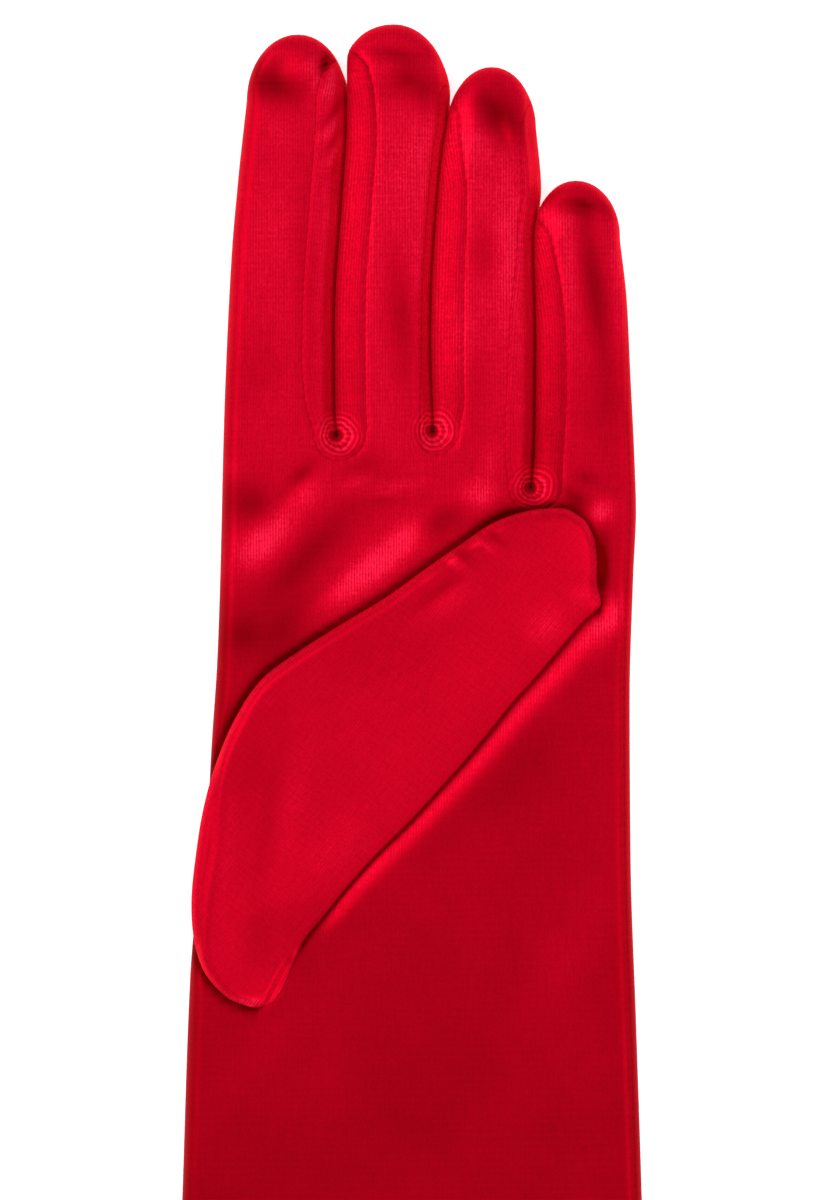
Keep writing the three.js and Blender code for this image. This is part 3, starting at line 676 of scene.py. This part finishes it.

# %% [markdown]
# Satin doesn't shine evenly, and each small fold has a bright and a dull slope. The modelled
# folds give only part of that. The rest is painted into the colour as highlights and shade, in
# soft patches and in bands along the sides, the thumb and the seams, as it looks from above in
# this light. So this painted light stays where it is when the glove is turned. The patches are
# written like the folds, with a share of brightness instead of a depth.

# %% Painted highlights and shade
PAINTED_LIGHT_PATCHES = (
    # x, down, long, short, turn, gain
    (5, 40, 70, 62, 0, 0.4), (0, 300, 900, 130, 0, -0.25), (-38, 121, 22, 6, 86, -0.12),
    # fingertips and fingers
    (-26.2, 13.2, 5.0, 3.6, -20, -0.7), (-19.2, 9.7, 2.6, 2.2, 0, 0.3),
    (-16.7, 8.6, 1.9, 0.9, 75, -1.3), (-14.9, 10.4, 1.6, 1.0, 60, 0.4),
    (-18.3, 12.2, 2.6, 0.9, 75, 0.25), (-15.5, 13.8, 2.5, 1.3, 50, 0.35),
    (-14.4, 18.3, 3.4, 1.1, 52, -0.45), (-15.4, 21.6, 3.4, 1.0, 53, 0.3),
    (-14.6, 24.3, 3.0, 0.9, 53, -0.3), (-14.6, 27.2, 2.8, 0.9, 55, 0.2),
    (-15.2, 31.0, 3.0, 1.2, 60, -0.15), (1.5, 12.8, 6.0, 3.4, -35, -0.6),
    (-1.0, 6.6, 6.0, 1.5, 0, -0.3), (-4.0, 9.5, 2.4, 2.2, 0, 0.2), (3.5, 26.0, 8.0, 4.0, 85, 0.12),
    (21.0, 46.0, 15.0, 2.8, 90, 0.2), (10.5, 67.0, 10.0, 3.0, 90, 0.2),
    (-20.8, 48.0, 30.0, 2.6, 91, -0.2), (-30.0, 72.0, 8.0, 5.0, 60, -0.1),
    (-28.5, 30.0, 7.0, 4.0, 100, -0.07), (-1.2, 60.0, 14.0, 3.0, 95, -0.4),
    (19.2, 18.8, 7.0, 3.8, -50, -0.85), (14.5, 25.0, 3.5, 3.0, 0, 0.15),
    (16.0, 47.0, 6.0, 2.8, 90, -0.22), (14.0, 74.0, 9.0, 3.0, 90, -0.15),
    (36.0, 37.5, 6.5, 1.8, -15, -0.6), (33.2, 40.9, 2.5, 2.0, 0, 0.15),
    (38.5, 54.0, 17.0, 2.5, 98, -0.55), (33.8, 51.5, 12.0, 1.5, 92, 0.15),
    (43.5, 52.0, 15.0, 1.3, 92, 0.2), (40.6, 79.0, 8.0, 4.0, 90, -0.2),
    # palm
    (-31.5, 99.0, 6.0, 4.0, -35, -0.36), (-35.8, 91.8, 3.0, 2.5, 0, 0.15),
    (-21.4, 92.8, 3.5, 1.5, 40, -0.4), (-8.0, 91.5, 4.5, 3.5, 0, -0.25),
    (-19.8, 96.9, 3.0, 2.4, 45, 0.25), (-29.1, 106.2, 8.5, 3.8, 45, 0.75),
    (-20.8, 110.3, 14.0, 3.5, 48, -0.35), (-25.0, 124.7, 8.0, 4.0, 45, -0.35),
    (-33.2, 125.8, 4.0, 3.5, 45, -0.25), (-37.1, 139.2, 9.0, 1.0, 87, -0.12),
    (-7.5, 112.4, 11.5, 3.4, 40, 0.75), (0.8, 105.2, 4.0, 3.0, 40, 0.35),
    (6.4, 102.5, 6.0, 3.0, 30, -0.4), (-3.0, 95.6, 7.0, 1.2, 8, 0.22),
    (-5.0, 98.4, 5.0, 1.0, 6, -0.15), (14.9, 97.2, 3.6, 3.2, 0, 0.45),
    (-9.5, 94.2, 4.0, 1.3, 20, 0.35), (17.3, 91.0, 5.0, 2.2, 90, 0.2),
    (20.0, 100.2, 6.0, 2.0, 25, -0.4), (35.5, 98.5, 4.5, 1.8, -35, -0.5),
    (36.8, 93.8, 2.5, 2.0, 0, -0.25), (39.4, 100.6, 2.8, 2.3, 0, 0.75),
    (40.6, 111.5, 7.0, 1.2, 90, -0.6),
    # below the thumb
    (42.3, 124.0, 6.0, 3.0, 50, 0.3), (22.8, 152.6, 22.0, 7.0, 46, -0.12),
    (33.1, 191.8, 13.0, 5.0, 60, 0.12), (-30.0, 212.0, 22.0, 5.0, 48, 0.07),
    (10.0, 215.0, 30.0, 9.0, 40, -0.04),
)
THUMB_PAINTED_LIGHT_PATCHES = (
    # x, down, long, short, turn, gain
    (0, 150, 900, 900, 0, 0.1), (28.6, 123.7, 4.5, 3.6, 40, 0.3), (35.8, 117.5, 2.6, 2.2, 0, 0.25),
    (-23.0, 160.0, 16.0, 2.6, 78, 0.12), (-28.5, 165.0, 15.0, 1.8, 80, -0.1),
    (-6.0, 140.0, 9.0, 5.0, 40, 0.07), (12.0, 109.6, 2.5, 0.8, -45, -0.25),
    (10.1, 111.0, 2.4, 0.8, -45, 0.35), (18.3, 106.2, 2.4, 0.8, -35, -0.25),
    (16.0, 107.4, 2.0, 0.8, -40, 0.3), (-31.5, 200.6, 4.0, 0.9, -8, 0.35),
    (-26.6, 199.8, 3.0, 0.5, 62, 0.3), (7.0, 116.5, 5.0, 1.2, 35, -0.2),
    (8.0, 119.8, 6.0, 2.4, 35, 0.15), (-14.9, 168.9, 9.0, 5.0, 45, 0.15),
    (-31.0, 153.0, 7.0, 5.0, 60, -0.1), (-36.5, 170.0, 14.0, 1.6, 84, 0.12),
    (-30.0, 186.0, 8.0, 3.0, 80, -0.08),
)
SHADE_DEEP = 0.6
SHADE_BROAD = 1.3
CREASE_HIGHLIGHT = 0.4
CREASE_HIGHLIGHT_AT = 0.55
CREASE_HIGHLIGHT_BROAD = 0.5
CREASE_SHADE = 0.5
CREASE_SHADE_BROAD = 0.8
THUMB_CREASE_BROAD = 0.7
RIM_HIGHLIGHT = 0.28
RIM_HIGHLIGHT_AT = 0.5
RIM_HIGHLIGHT_BROAD = 0.7
INDEX_SIDE_SHADE = 0.18
LITTLE_SIDE_SHADE = 0.1
SIDE_SHADE_BROAD = 1.8
INDEX_LINE_SHADE = 0.3
INDEX_LINE_AT = 2.6
INDEX_LINE_BROAD = 0.9
INDEX_LINE_END = 105.0


def palm_painted_light(points):
    """Painted light on the palm: its painted patches, a painted shadow along the thumb's soft edge
    and its crease, painted shade along the glove's own sides and in a line near the index
    finger's side, and a painted highlight on the band below the crease."""
    rim, _ = chain_distance(thumb_rim, points)
    low, breadth, start = tight_band(points)
    index, little = side_distances(points)
    fading = np.sqrt(np.clip(1 - points[:, 1] / INDEX_LINE_END, 0, 1))
    # A painted highlight on the band below the thumb's crease.
    painted_crease_highlight = bell(low / breadth - CREASE_HIGHLIGHT_AT, CREASE_HIGHLIGHT_BROAD) * start
    # A painted shadow along the thumb's soft edge and its crease, then painted shade along the sides.
    shade = SHADE_DEEP * bell(rim, SHADE_BROAD) + CREASE_SHADE * bell(low, CREASE_SHADE_BROAD)
    shade += INDEX_SIDE_SHADE * bell(index, SIDE_SHADE_BROAD)
    shade += LITTLE_SIDE_SHADE * bell(little, SIDE_SHADE_BROAD)
    shade += INDEX_LINE_SHADE * bell(index - INDEX_LINE_AT, INDEX_LINE_BROAD) * fading
    return soft_spots(points, PAINTED_LIGHT_PATCHES) - shade + CREASE_HIGHLIGHT * painted_crease_highlight


def thumb_painted_light(points):
    """The thumb's painted patches, a painted highlight along its soft rolled edge and painted shade
    along its crease.
    """
    rim, _ = chain_distance(thumb_rim, points)
    low, _ = chain_distance(crease, points)
    fold = RIM_HIGHLIGHT * bell(rim - RIM_HIGHLIGHT_AT, RIM_HIGHLIGHT_BROAD)
    return soft_spots(points, THUMB_PAINTED_LIGHT_PATCHES) + fold - CREASE_SHADE * bell(low, THUMB_CREASE_BROAD)


print(len(PAINTED_LIGHT_PATCHES) + len(THUMB_PAINTED_LIGHT_PATCHES), "soft patches")

# %% [markdown]
# ## Laying the cloth
# A cut of cloth is a grid primitive with a vertex for every place in a table of rows. The
# operator adds it flat, and its vertices are then moved to the places that the pattern gives. Its
# texture map is the cloth itself, in millimetres across and along the knit, so the ribs of the
# knit later run as they do on the real cut. Some numbers also stay on each vertex, such as how
# far it is from the nearest seam, how far along that seam it is, and how bright its cloth is.

# %% Lay one cut of cloth
def lay_cloth(name, x, down, z, knit, **kept):
    rows, columns = x.shape
    co = np.column_stack([x.reshape(-1), GLOVE_LENGTH / 2 - down.reshape(-1), z.reshape(-1)]) * MM
    bpy.ops.object.select_all(action="DESELECT")
    bpy.ops.mesh.primitive_grid_add(x_subdivisions=columns - 1, y_subdivisions=rows - 1, size=0.1)
    cloth = bpy.context.object
    cloth.name = name
    mesh = cloth.data
    order = np.arange(rows * columns).reshape(rows, columns)[::-1].reshape(-1)
    mesh.vertices.foreach_set("co", co[order].reshape(-1))
    for label, values in kept.items():
        layer = mesh.attributes.new(label, "FLOAT", "POINT")
        layer.data.foreach_set("value", values.reshape(-1)[order].astype(np.float32))
    corner = np.empty(len(mesh.loops), np.int32)
    mesh.loops.foreach_get("vertex_index", corner)
    mesh.uv_layers[0].data.foreach_set("uv", knit.reshape(-1, 2)[order][corner].reshape(-1))
    mesh.uv_layers[0].name = "knit"
    return cloth


def lengths(places, axis):
    """How far each place is along its row or column of places, measured over the cloth."""
    steps = np.linalg.norm(np.diff(places, axis=axis), axis=-1)
    start = np.zeros_like(steps.take([0], axis=axis))
    return np.cumsum(np.concatenate([start, steps], axis=axis), axis=axis)


def gather_distance(points):
    """How far each point is from the nearest slit's end, where the strips are gathered."""
    return np.min([np.hypot(points[:, 0] - slit.x(slit.bottom), points[:, 1] - slit.bottom)
                   for slit in slits], axis=0)


def lay_cut(name, cut, strip=False, tone=np.zeros(1)):
    points = cut.points()
    z, seam, run = skin_height(points, cut.under.reshape(-1))
    x = (points[:, 0] + lean(points, z)).reshape(cut.x.shape)
    z = z.reshape(cut.x.shape)
    knit = plan(cut.x, cut.down)
    if strip:
        places = np.dstack([cut.x, cut.down, z])
        middle = places[:, SIDE_TOP_POINTS // 2:][:, :1]
        knit = np.dstack([lengths(places, 1), lengths(middle, 0) + 0 * z])
    # Painted highlights and shade for every point of this cut, kept on its vertices.
    shine = palm_painted_light(points)
    return lay_cloth(name, x, cut.down, z, knit, seam_distance=seam, seam_run=run,
                     gather=gather_distance(points), grain=shine, lustre=shine + tone.reshape(-1))


def sew(name, cuts):
    """Joins cuts that share their edges into one cloth, with its doubled points merged."""
    bpy.ops.object.select_all(action="DESELECT")
    for cut in cuts:
        cut.select_set(True)
    bpy.context.view_layer.objects.active = cuts[0]
    if len(cuts) > 1:
        bpy.ops.object.join()
    cloth = bpy.context.object
    cloth.name = name
    cloth.data.name = name
    bpy.ops.object.mode_set(mode="EDIT")
    bpy.ops.mesh.select_all(action="SELECT")
    bpy.ops.mesh.remove_doubles(threshold=0.004 * MM)
    bpy.ops.object.mode_set(mode="OBJECT")
    bpy.ops.object.shade_smooth()
    return cloth


# %% [markdown]
# ## The hand and sleeve
# The palm, the back and the whole sleeve of such a glove are one cut, the trank, folded at the
# index finger's side. Its fingers end where their fourchettes begin, so on the sides of a finger
# the trank has only the part above the fourchette, which closes the fingertip.

# %% Lay the fingers of the trank
trank_cuts = []
for finger in fingers:
    own = cuts[finger.name]
    trank_cuts += [lay_cut("front", own["front"]), lay_cut("back", own["back"])]
    for side, slit in (("left", finger.left_slit), ("right", finger.right_slit)):
        rows = slice(0, side_start(finger, side) + 1 if slit else None)
        trank_cuts.append(lay_cut("side", own[side].part(rows)))
print("laid", len(trank_cuts), "cuts for the fingers")

# %% [markdown]
# Below the fingers the cloth goes on as one sheet on each face. Its first row follows the ends of
# the fingers and the arches of the fourchettes, and the next rows even that out until they are
# level across the knuckles. From there the columns run straight down the sleeve to the hem.

# %% Lay the palm, the back and the sleeve
ARCH_POINTS = 16
KNUCKLE_DOWN = 106.0
KNUCKLE_ROWS = 15
HAND_DOWN = np.concatenate([
    np.linspace(KNUCKLE_DOWN, 240, 82)[1:], np.linspace(240, HEM_START - 2, 36)[1:],
    HEM_START + np.array([-1, -0.4, 0, 0.4, 1, 6, 11, HEM_DEPTH])])
LEFT_EDGE = SIDE_UNDER_POINTS - 1
RIGHT_EDGE = SIDE_TOP_POINTS - 1


def first_row(under):
    """The ends of the fingers and the arches between them, from the index finger's side across."""
    x, down = [], []
    for finger in fingers:
        own = cuts[finger.name]
        row = own["back"].part(-1, slice(None, None, -1)) if under else own["front"].part(-1)
        parts = [row]
        if finger.left_slit is None:
            side = slice(LEFT_EDGE, 0, -1) if under else slice(LEFT_EDGE, -1)
            parts.insert(0, own["left"].part(-1, side))
        if finger.right_slit is None:
            side = slice(-2, RIGHT_EDGE - 1, -1) if under else slice(1, RIGHT_EDGE + 1)
            parts.append(own["right"].part(-1, side))
        x += [part.x for part in parts]
        down += [part.down for part in parts]
        if finger.right_slit:
            turn = np.linspace(math.pi, 0, ARCH_POINTS)[1:-1]
            breadth = arch_breadth(finger.right_slit, turn)
            reach = np.minimum(breadth, UNDER_SEAM) if under else breadth
            arch_x, arch_down = arch_row(finger.right_slit, turn, reach)
            x.append(arch_x)
            down.append(arch_down)
    return np.concatenate(x), np.concatenate(down)


def hand_sheet(under):
    x_first, down_first = first_row(under)
    reach = side_reach([OUTER_SIDE_BREADTH])[0]
    reach = reach[RIGHT_EDGE:] if under else reach[RIGHT_EDGE::-1]
    middle = np.linspace(0, 1, len(x_first) - 2 * len(reach) + 2)[1:-1]

    def level_row(down):
        left, right = index_side(down), little_side(down)
        inner = left + reach[-1] + (right - left - 2 * reach[-1]) * middle
        return np.concatenate([left + reach, inner, (right - reach)[::-1]])

    share = np.linspace(0, 1, KNUCKLE_ROWS)[:, None]
    down = down_first + (KNUCKLE_DOWN - down_first) * share
    x = x_first + (level_row(KNUCKLE_DOWN) - x_first) * share ** 1.5
    x[:, 0], x[:, -1] = index_side(down[:, 0]), little_side(down[:, -1])
    x = np.concatenate([x, np.array([level_row(level) for level in HAND_DOWN])])
    down = np.concatenate([down, np.repeat(HAND_DOWN[:, None], x.shape[1], axis=1)])
    below = np.full(x.shape[1], under)
    below[[0, -1]] = False
    sheet = Cut(x, down, below)
    return sheet.part(slice(None), slice(None, None, -1)) if under else sheet


trank_cuts += [lay_cut("palm", hand_sheet(False)), lay_cut("back_of_hand", hand_sheet(True))]
hand = sew("glove_hand_and_sleeve", trank_cuts)
print("the hand and sleeve have", len(hand.data.polygons), "faces")

# %% [markdown]
# ## The fourchettes
# Each strip is laid where it was marked out, a hair narrower than its place, which leaves the sunk
# line of its seams. Its texture map runs along the strip, so its ribs turn round the slit's end
# in rings.

# %% Lay the fourchettes
SEAM_SHARE = 0.03
GATHER_HIGHLIGHT = 0.22
GATHER_HIGHLIGHT_AT = 2.6
GATHER_HIGHLIGHT_BROAD = 1.8
LEG_PAINTED_GAIN = -0.34
LEG_SHADE_AT = 3.4
LEG_SHADE_BROAD = 2.6


def lay_fourchette(slit, strip):
    x, down = strip.x.copy(), strip.down.copy()
    for places in (x, down):
        places[:, 0] += SEAM_SHARE * (places[:, 1] - places[:, 0])
        places[:, -1] += SEAM_SHARE * (places[:, -2] - places[:, -1])
    right = np.maximum(0, x - slit.x(down))
    # Painted shade on each strip's right leg, and a painted highlight in a ring round the slit's end.
    painted_strip_light = np.where(right > 0, LEG_PAINTED_GAIN * bell(right - LEG_SHADE_AT, LEG_SHADE_BROAD), 0)
    away = gather_distance(plan(x, down).reshape(-1, 2)).reshape(x.shape)
    painted_strip_light = painted_strip_light + (GATHER_HIGHLIGHT - painted_strip_light) * bell(away - GATHER_HIGHLIGHT_AT, GATHER_HIGHLIGHT_BROAD)
    cloth = lay_cut("strip", Cut(x, down, SIDE_IS_UNDER), strip=True, tone=painted_strip_light)
    return sew("glove_fourchette_" + slit.name, [cloth])


fourchettes = [lay_fourchette(slit, strip) for slit, strip in zip(slits, strips)]
print([len(piece.data.polygons) for piece in fourchettes], "faces in the fourchettes")

# %% [markdown]
# ## The thumb
# The thumb is a tube of its own, sewn into a hole in the palm. Folded flat, its upper edge is a
# soft roll and its lower edge a sharp crease, so it is a wedge that grows thinner towards the
# crease. At its round lower end a small pleat is pressed in. It is cut on the cross, so its ribs
# run askew to the rest.

# %% Lay the thumb
THUMB_GAP = 0.12
THUMB_SEAT_LOW = 7.3
CREASE_THICK = 1.1
WEDGE_THICK = 2.7
THUMB_ROWS = 150
THUMB_ACROSS = 48
THUMB_UNDER = 14
SOFT_ROLL = 3.2
CREASE_ROLL = 0.8
PLEAT = np.array([(-28.4, 201.2), (-27.2, 198.6), (-25.6, 195.4), (-24.1, 192.6)])
PLEAT_DEEP = 0.6
PLEAT_BROAD = 0.6
THUMB_FOLDS = (
    # x, down, long, short, turn, deep
    (8.2, 111.0, 3.2, 0.9, -48, 0.32), (10.6, 110.6, 2.6, 0.9, -50, -0.3),
    (13.6, 108.3, 2.8, 0.8, -42, 0.32), (15.6, 107.4, 2.2, 0.8, -42, -0.25),
    (19.6, 105.6, 2.6, 0.8, -35, 0.25), (3.0, 114.6, 3.4, 1.0, -48, 0.2),
    (6.5, 117.8, 6.0, 1.8, 34, -0.3), (-27.0, 139.5, 5.0, 1.4, 30, 0.2),
)
END_WIDTH = 3.0
THUMB_CALM = 0.08
KNIT_TURN = math.radians(38)


def thumb_seat(points):
    x, down = points.T
    palm = FOLD_HEIGHT + PALM_RISE * rolled(np.maximum(0, x - index_side(down)), front_roll(points))
    return np.maximum(palm, THUMB_SEAT_LOW) - thumb_bed(points, True) + THUMB_GAP


def lay_thumb():
    rows = thumb_edges(THUMB_ROWS)[::-1]
    over = eased(0, 1, THUMB_ACROSS)
    below = eased(1, 0, THUMB_UNDER)[1:]
    share = np.concatenate([over, below])
    under = np.arange(len(share)) >= THUMB_ACROSS
    x = rows[:, :1] + (rows[:, 2:3] - rows[:, :1]) * share
    down = rows[:, 1:2] + (rows[:, 3:] - rows[:, 1:2]) * share
    points = plan(x, down).reshape(-1, 2)
    near = chain_distance(thumb_chain, points)[0].reshape(x.shape)
    near[:, (share <= 0) | (share >= 1)] = 0
    near[[0, -1]] = 0
    width = np.hypot(rows[:, 2] - rows[:, 0], rows[:, 3] - rows[:, 1])[:, None]
    wedge = 0.5 + (share - 0.5) * np.clip(width / END_WIDTH, 0, 1)
    full = rolled(near, SOFT_ROLL + (CREASE_ROLL - SOFT_ROLL) * wedge)
    half = (CREASE_THICK + WEDGE_THICK * (1 - wedge)) / 2
    pleat = chain_distance(PLEAT, points)[0].reshape(x.shape)
    dip = PLEAT_DEEP * bell(pleat, PLEAT_BROAD)
    dip += (soft_spots(points, THUMB_FOLDS) - soft_waves(1.3 * points)).reshape(x.shape)
    top = half * (1 + full) - np.minimum(dip, half) * full
    z = thumb_seat(points).reshape(x.shape) + np.where(under, half * (1 - full), top)
    turned = plan(x * math.cos(KNIT_TURN) + down * math.sin(KNIT_TURN),
                  down * math.cos(KNIT_TURN) - x * math.sin(KNIT_TURN))
    far = np.full(x.shape, FAR)
    # Painted highlights and shade for every point of the thumb, kept on its vertices.
    shine = thumb_painted_light(points)
    # The thumb's pleat takes the seams' dimple and their painted shade.
    cloth = lay_cloth("thumb", x, down, z, turned, seam_distance=np.where(under, far, pleat + 0.1),
                      seam_run=0 * far, gather=far, grain=shine - THUMB_CALM, lustre=shine)
    return sew("glove_thumb", [cloth])


thumb = lay_thumb()
print("the thumb has", len(thumb.data.polygons), "faces")

# %% [markdown]
# ## The wall of the cloth
# Knitted satin is about half a millimetre thick. Solidify gives each open skin that wall on its
# inner side and closes its rims, so the glove is hollow and open at the hem. The two ends of the
# thumb are too narrow for a full wall, which is thinner there.

# %% Give the cloth its thickness
CLOTH = 0.5
SHARP_EDGE = math.radians(60)
THIN_REACH = 1.5
THIN_SHARE = 0.1


def thicken(cloth, thin_places=()):
    bpy.ops.object.select_all(action="DESELECT")
    cloth.select_set(True)
    bpy.context.view_layer.objects.active = cloth
    wall = cloth.modifiers.new("cloth wall", "SOLIDIFY")
    wall.thickness = CLOTH * MM
    wall.offset = -1
    if len(thin_places):
        place = np.array([vertex.co[:2] for vertex in cloth.data.vertices]) / MM
        near = np.min([np.hypot(*(place - thin).T) for thin in thin_places], axis=0)
        full_wall = cloth.vertex_groups.new(name="full_wall")
        full_wall.add(np.flatnonzero(near > THIN_REACH).tolist(), 1.0, "REPLACE")
        wall.vertex_group = full_wall.name
        wall.thickness_vertex_group = THIN_SHARE
    bpy.ops.object.modifier_apply(modifier=wall.name)
    bpy.ops.object.shade_smooth_by_angle(angle=SHARP_EDGE)


glove_pieces = [hand, *fourchettes, thumb]
thumb_ends = [(x, GLOVE_LENGTH / 2 - down) for x, down in thumb_lines[[0, -1], :2]]
for piece in glove_pieces:
    thicken(piece, thumb_ends if piece is thumb else ())
    print(piece.name, sum(len(face.vertices) - 2 for face in piece.data.polygons), "triangles")

# %% [markdown]
# ## Satin
# The glove is knitted satin: fine upright ribs on the face, and threads so smooth that they
# shine in their own red. The maths of the pattern is written with a small class, so that adding or
# multiplying two values adds the Math node for it. Its brightest tone, where the painted
# highlights and the brightest flecks of yarn lie, turns a little rosy as a painted highlight.

# %% A class for shader maths
COLOUR_A = 6
COLOUR_B = 7
COLOUR_RESULT = 2


class Value:
    def __init__(self, tree, socket):
        self.tree = tree
        self.socket = socket

    def math(self, operation, *others):
        return self.node("ShaderNodeMath", {"operation": operation}, self, *others)

    def node(self, kind, settings, *values, **named):
        node = self.tree.nodes.new(kind)
        for label, setting in settings.items():
            setattr(node, label, setting)
        for key, value in [*enumerate(values), *named.items()]:
            self.feed(node.inputs[key], value)
        return Value(self.tree, node.outputs[0])

    def feed(self, socket, value):
        if isinstance(value, Value):
            self.tree.links.new(value.socket, socket)
        else:
            socket.default_value = value

    def output(self, label):
        """Another output of the node that this value comes from."""
        return Value(self.tree, self.socket.node.outputs[label])

    def mix(self, blend, first, second):
        """Two colours mixed by this value."""
        mixed = self.node("ShaderNodeMix", {"data_type": "RGBA", "blend_type": blend}, self)
        self.feed(mixed.socket.node.inputs[COLOUR_A], first)
        self.feed(mixed.socket.node.inputs[COLOUR_B], second)
        return mixed.output(COLOUR_RESULT)

    def __add__(self, other):
        return self.math("ADD", other)

    def __sub__(self, other):
        return self.math("SUBTRACT", other)

    def __mul__(self, other):
        return self.math("MULTIPLY", other)

    def __truediv__(self, other):
        return self.math("DIVIDE", other)

    def __rsub__(self, other):
        return self.node("ShaderNodeMath", {"operation": "SUBTRACT"}, other, self)

    __radd__ = __add__
    __rmul__ = __mul__

    def sine(self):
        return self.math("SINE")

    def power(self, exponent):
        return self.math("POWER", exponent)

    def bell(self, width):
        """1 where the value is 0, falling to nothing a few widths away."""
        return self.node("ShaderNodeMath", {"operation": "EXPONENT"}, 0 - (self / width).power(2))


# %% [markdown]
# The ribs stand 0.575 mm apart and run along the cloth's own map, with fine streaks of dull and
# bright yarn along and across them. The seams draw the cloth in at every stitch, so the two
# numbers kept on the mesh make a dimpled line there, with painted shade along it; the thumb's
# pleat gets the same. Round a slit's end the same cloth is gathered into small uneven rings,
# painted into the colour as light and shade, with a painted dark hole at the very end.

# %% The satin material
RIB_PITCH = 0.575
COURSE_PITCH = 1.46
STITCH_PITCH = 2.0
SEAM_LINE = 0.24
PUCKER = 0.9
RING_PITCH = 1.05
RING_TWIST = 1.5
RING_FADE = 110
PLEAT_PITCH = 0.95
GATHER_HOLE_SHADE = 0.85
TONE_SCALE = 0.76
TONE_MIDDLE = 0.37
ROSY_POWER = 6
TURN = 2 * math.pi


def satin(name, deep, bright, rosy, roughness):
    material = bpy.data.materials.new(name)
    material.use_nodes = True
    tree = material.node_tree
    shader = tree.nodes["Principled BSDF"]
    start = Value(tree, None)
    across_knit = start.node("ShaderNodeSeparateXYZ", {}, start.node("ShaderNodeUVMap", {"uv_map": "knit"}))
    along_knit = across_knit.output("Y")
    place = start.node("ShaderNodeTexCoord", {}).output("Object")

    def kept(label):
        return start.node("ShaderNodeAttribute", {"attribute_name": label}).output("Fac")

    def wave(value, pitch):
        return (value * (TURN / pitch)).sine()

    def noise(place, scale, detail, rough):
        inputs = {"Vector": place, "Scale": scale, "Detail": detail, "Roughness": rough}
        return start.node("ShaderNodeTexNoise", {}, **inputs)

    def streaks(across_scale, along_scale):
        stretched = (across_knit * across_scale, along_knit * along_scale)
        return noise(start.node("ShaderNodeCombineXYZ", {}, *stretched), 1.0, 3.0, 0.65)

    seam, run, gather = kept("seam_distance"), kept("seam_run"), kept("gather")
    # The painted light and shade kept on the mesh: once for the colour, once for the knit.
    grain, patch = kept("grain"), kept("lustre")
    rib = wave(across_knit, RIB_PITCH) * 0.5 + 0.5
    stitch = wave(run, STITCH_PITCH) * 0.5 + 0.5
    seam_dip_and_shade = seam.bell(SEAM_LINE)
    pucker = seam.bell(PUCKER) * stitch
    wale, course, fleck = streaks(1.7, 0.2), streaks(0.16, 1.3), streaks(2.2, 1.6)
    cloud, swirl = noise(place, 55.0, 2.0, 0.5), noise(place, 190.0, 1.0, 0.5)
    # The gathers' rings and pleats are painted into the colour as light and shade, with a small bump.
    rings = wave(gather + swirl * RING_TWIST, RING_PITCH) * (gather.power(3) / RING_FADE).bell(1)
    rings = rings + wave(along_knit, PLEAT_PITCH) * (gather - 2.2).bell(1.0) * 0.5

    # The knit shows more clearly under painted highlights and less under painted shade.
    clear = (grain * 0.8 + 0.55).power(2) + 0.1
    courses = wave(along_knit, COURSE_PITCH) * fleck
    weave = (rib - 0.5) * clear * 0.34 + wale * 0.65 + course * 0.4 + fleck * 1.15
    # The painted highlights and shade kept on the mesh are added to the knit's own tone.
    tone = (weave - 1.1) * clear + courses * 0.02 + cloud * 0.2 + rings * 0.3 + patch
    # Painted shade along the seams and the thumb's pleat, darkest at every stitch.
    tone = (tone * TONE_SCALE + TONE_MIDDLE) * (1 - seam_dip_and_shade * (stitch * 0.25 + 0.12))
    # A painted dark hole at each slit's end.
    tone = tone * (1 - gather.bell(GATHER_HOLE_SHADE) * 0.95)
    colour = tone.mix("MIX", (*deep, 1.0), (*bright, 1.0))
    # The brightest tone, painted highlights and bright yarn flecks alike, turns a little rosy.
    colour = tone.power(ROSY_POWER).mix("ADD", colour, (*rosy, 1.0))
    start.feed(shader.inputs["Base Color"], colour)

    relief = (rib * clear * 0.024 + wale * 0.02 + course * 0.012 + fleck * 0.02) * clear + rings * 0.06
    relief = relief - seam_dip_and_shade * 0.04 - pucker * 0.04
    bump = start.node("ShaderNodeBump", {}, Strength=1.0, Distance=MM, Height=relief)
    start.feed(shader.inputs["Normal"], bump)
    shader.inputs["Metallic"].default_value = 0.5
    shader.inputs["Roughness"].default_value = roughness
    shader.inputs["Specular IOR Level"].default_value = 0.03
    shader.inputs["Specular Tint"].default_value = (1.0, 0.12, 0.2, 1.0)
    shader.inputs["Sheen Weight"].default_value = 0.35
    shader.inputs["Sheen Roughness"].default_value = 0.35
    shader.inputs["Sheen Tint"].default_value = (1.0, 0.03, 0.1, 1.0)
    return material


# Between these two reds runs the tone: the yarn's own streaks, and painted highlights and shade.
DEEP_RED = (0.16, 0.0001, 0.0005)
BRIGHT_RED = (0.98, 0.001, 0.029)
ROSY_HIGHLIGHT = (0.0, 0.012, 0.034)
red_satin = satin("red_satin", DEEP_RED, BRIGHT_RED, ROSY_HIGHLIGHT, roughness=0.5)
for piece in glove_pieces:
    piece.data.materials.clear()
    piece.data.materials.append(red_satin)
print("red satin has", len(red_satin.node_tree.nodes), "nodes")

# %% [markdown]
# ## Hand over
# Each piece of cloth takes the place of the solid that stood for it, rides on the one body of the
# glove and takes its finish from the satin slot.

# %% Put each piece in its place
REPLACED = ["hand_and_sleeve", *("fourchette_" + slit.name for slit in slits), "thumb"]
for piece, node in zip(glove_pieces, REPLACED):
    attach(piece, "root")
    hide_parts(node)
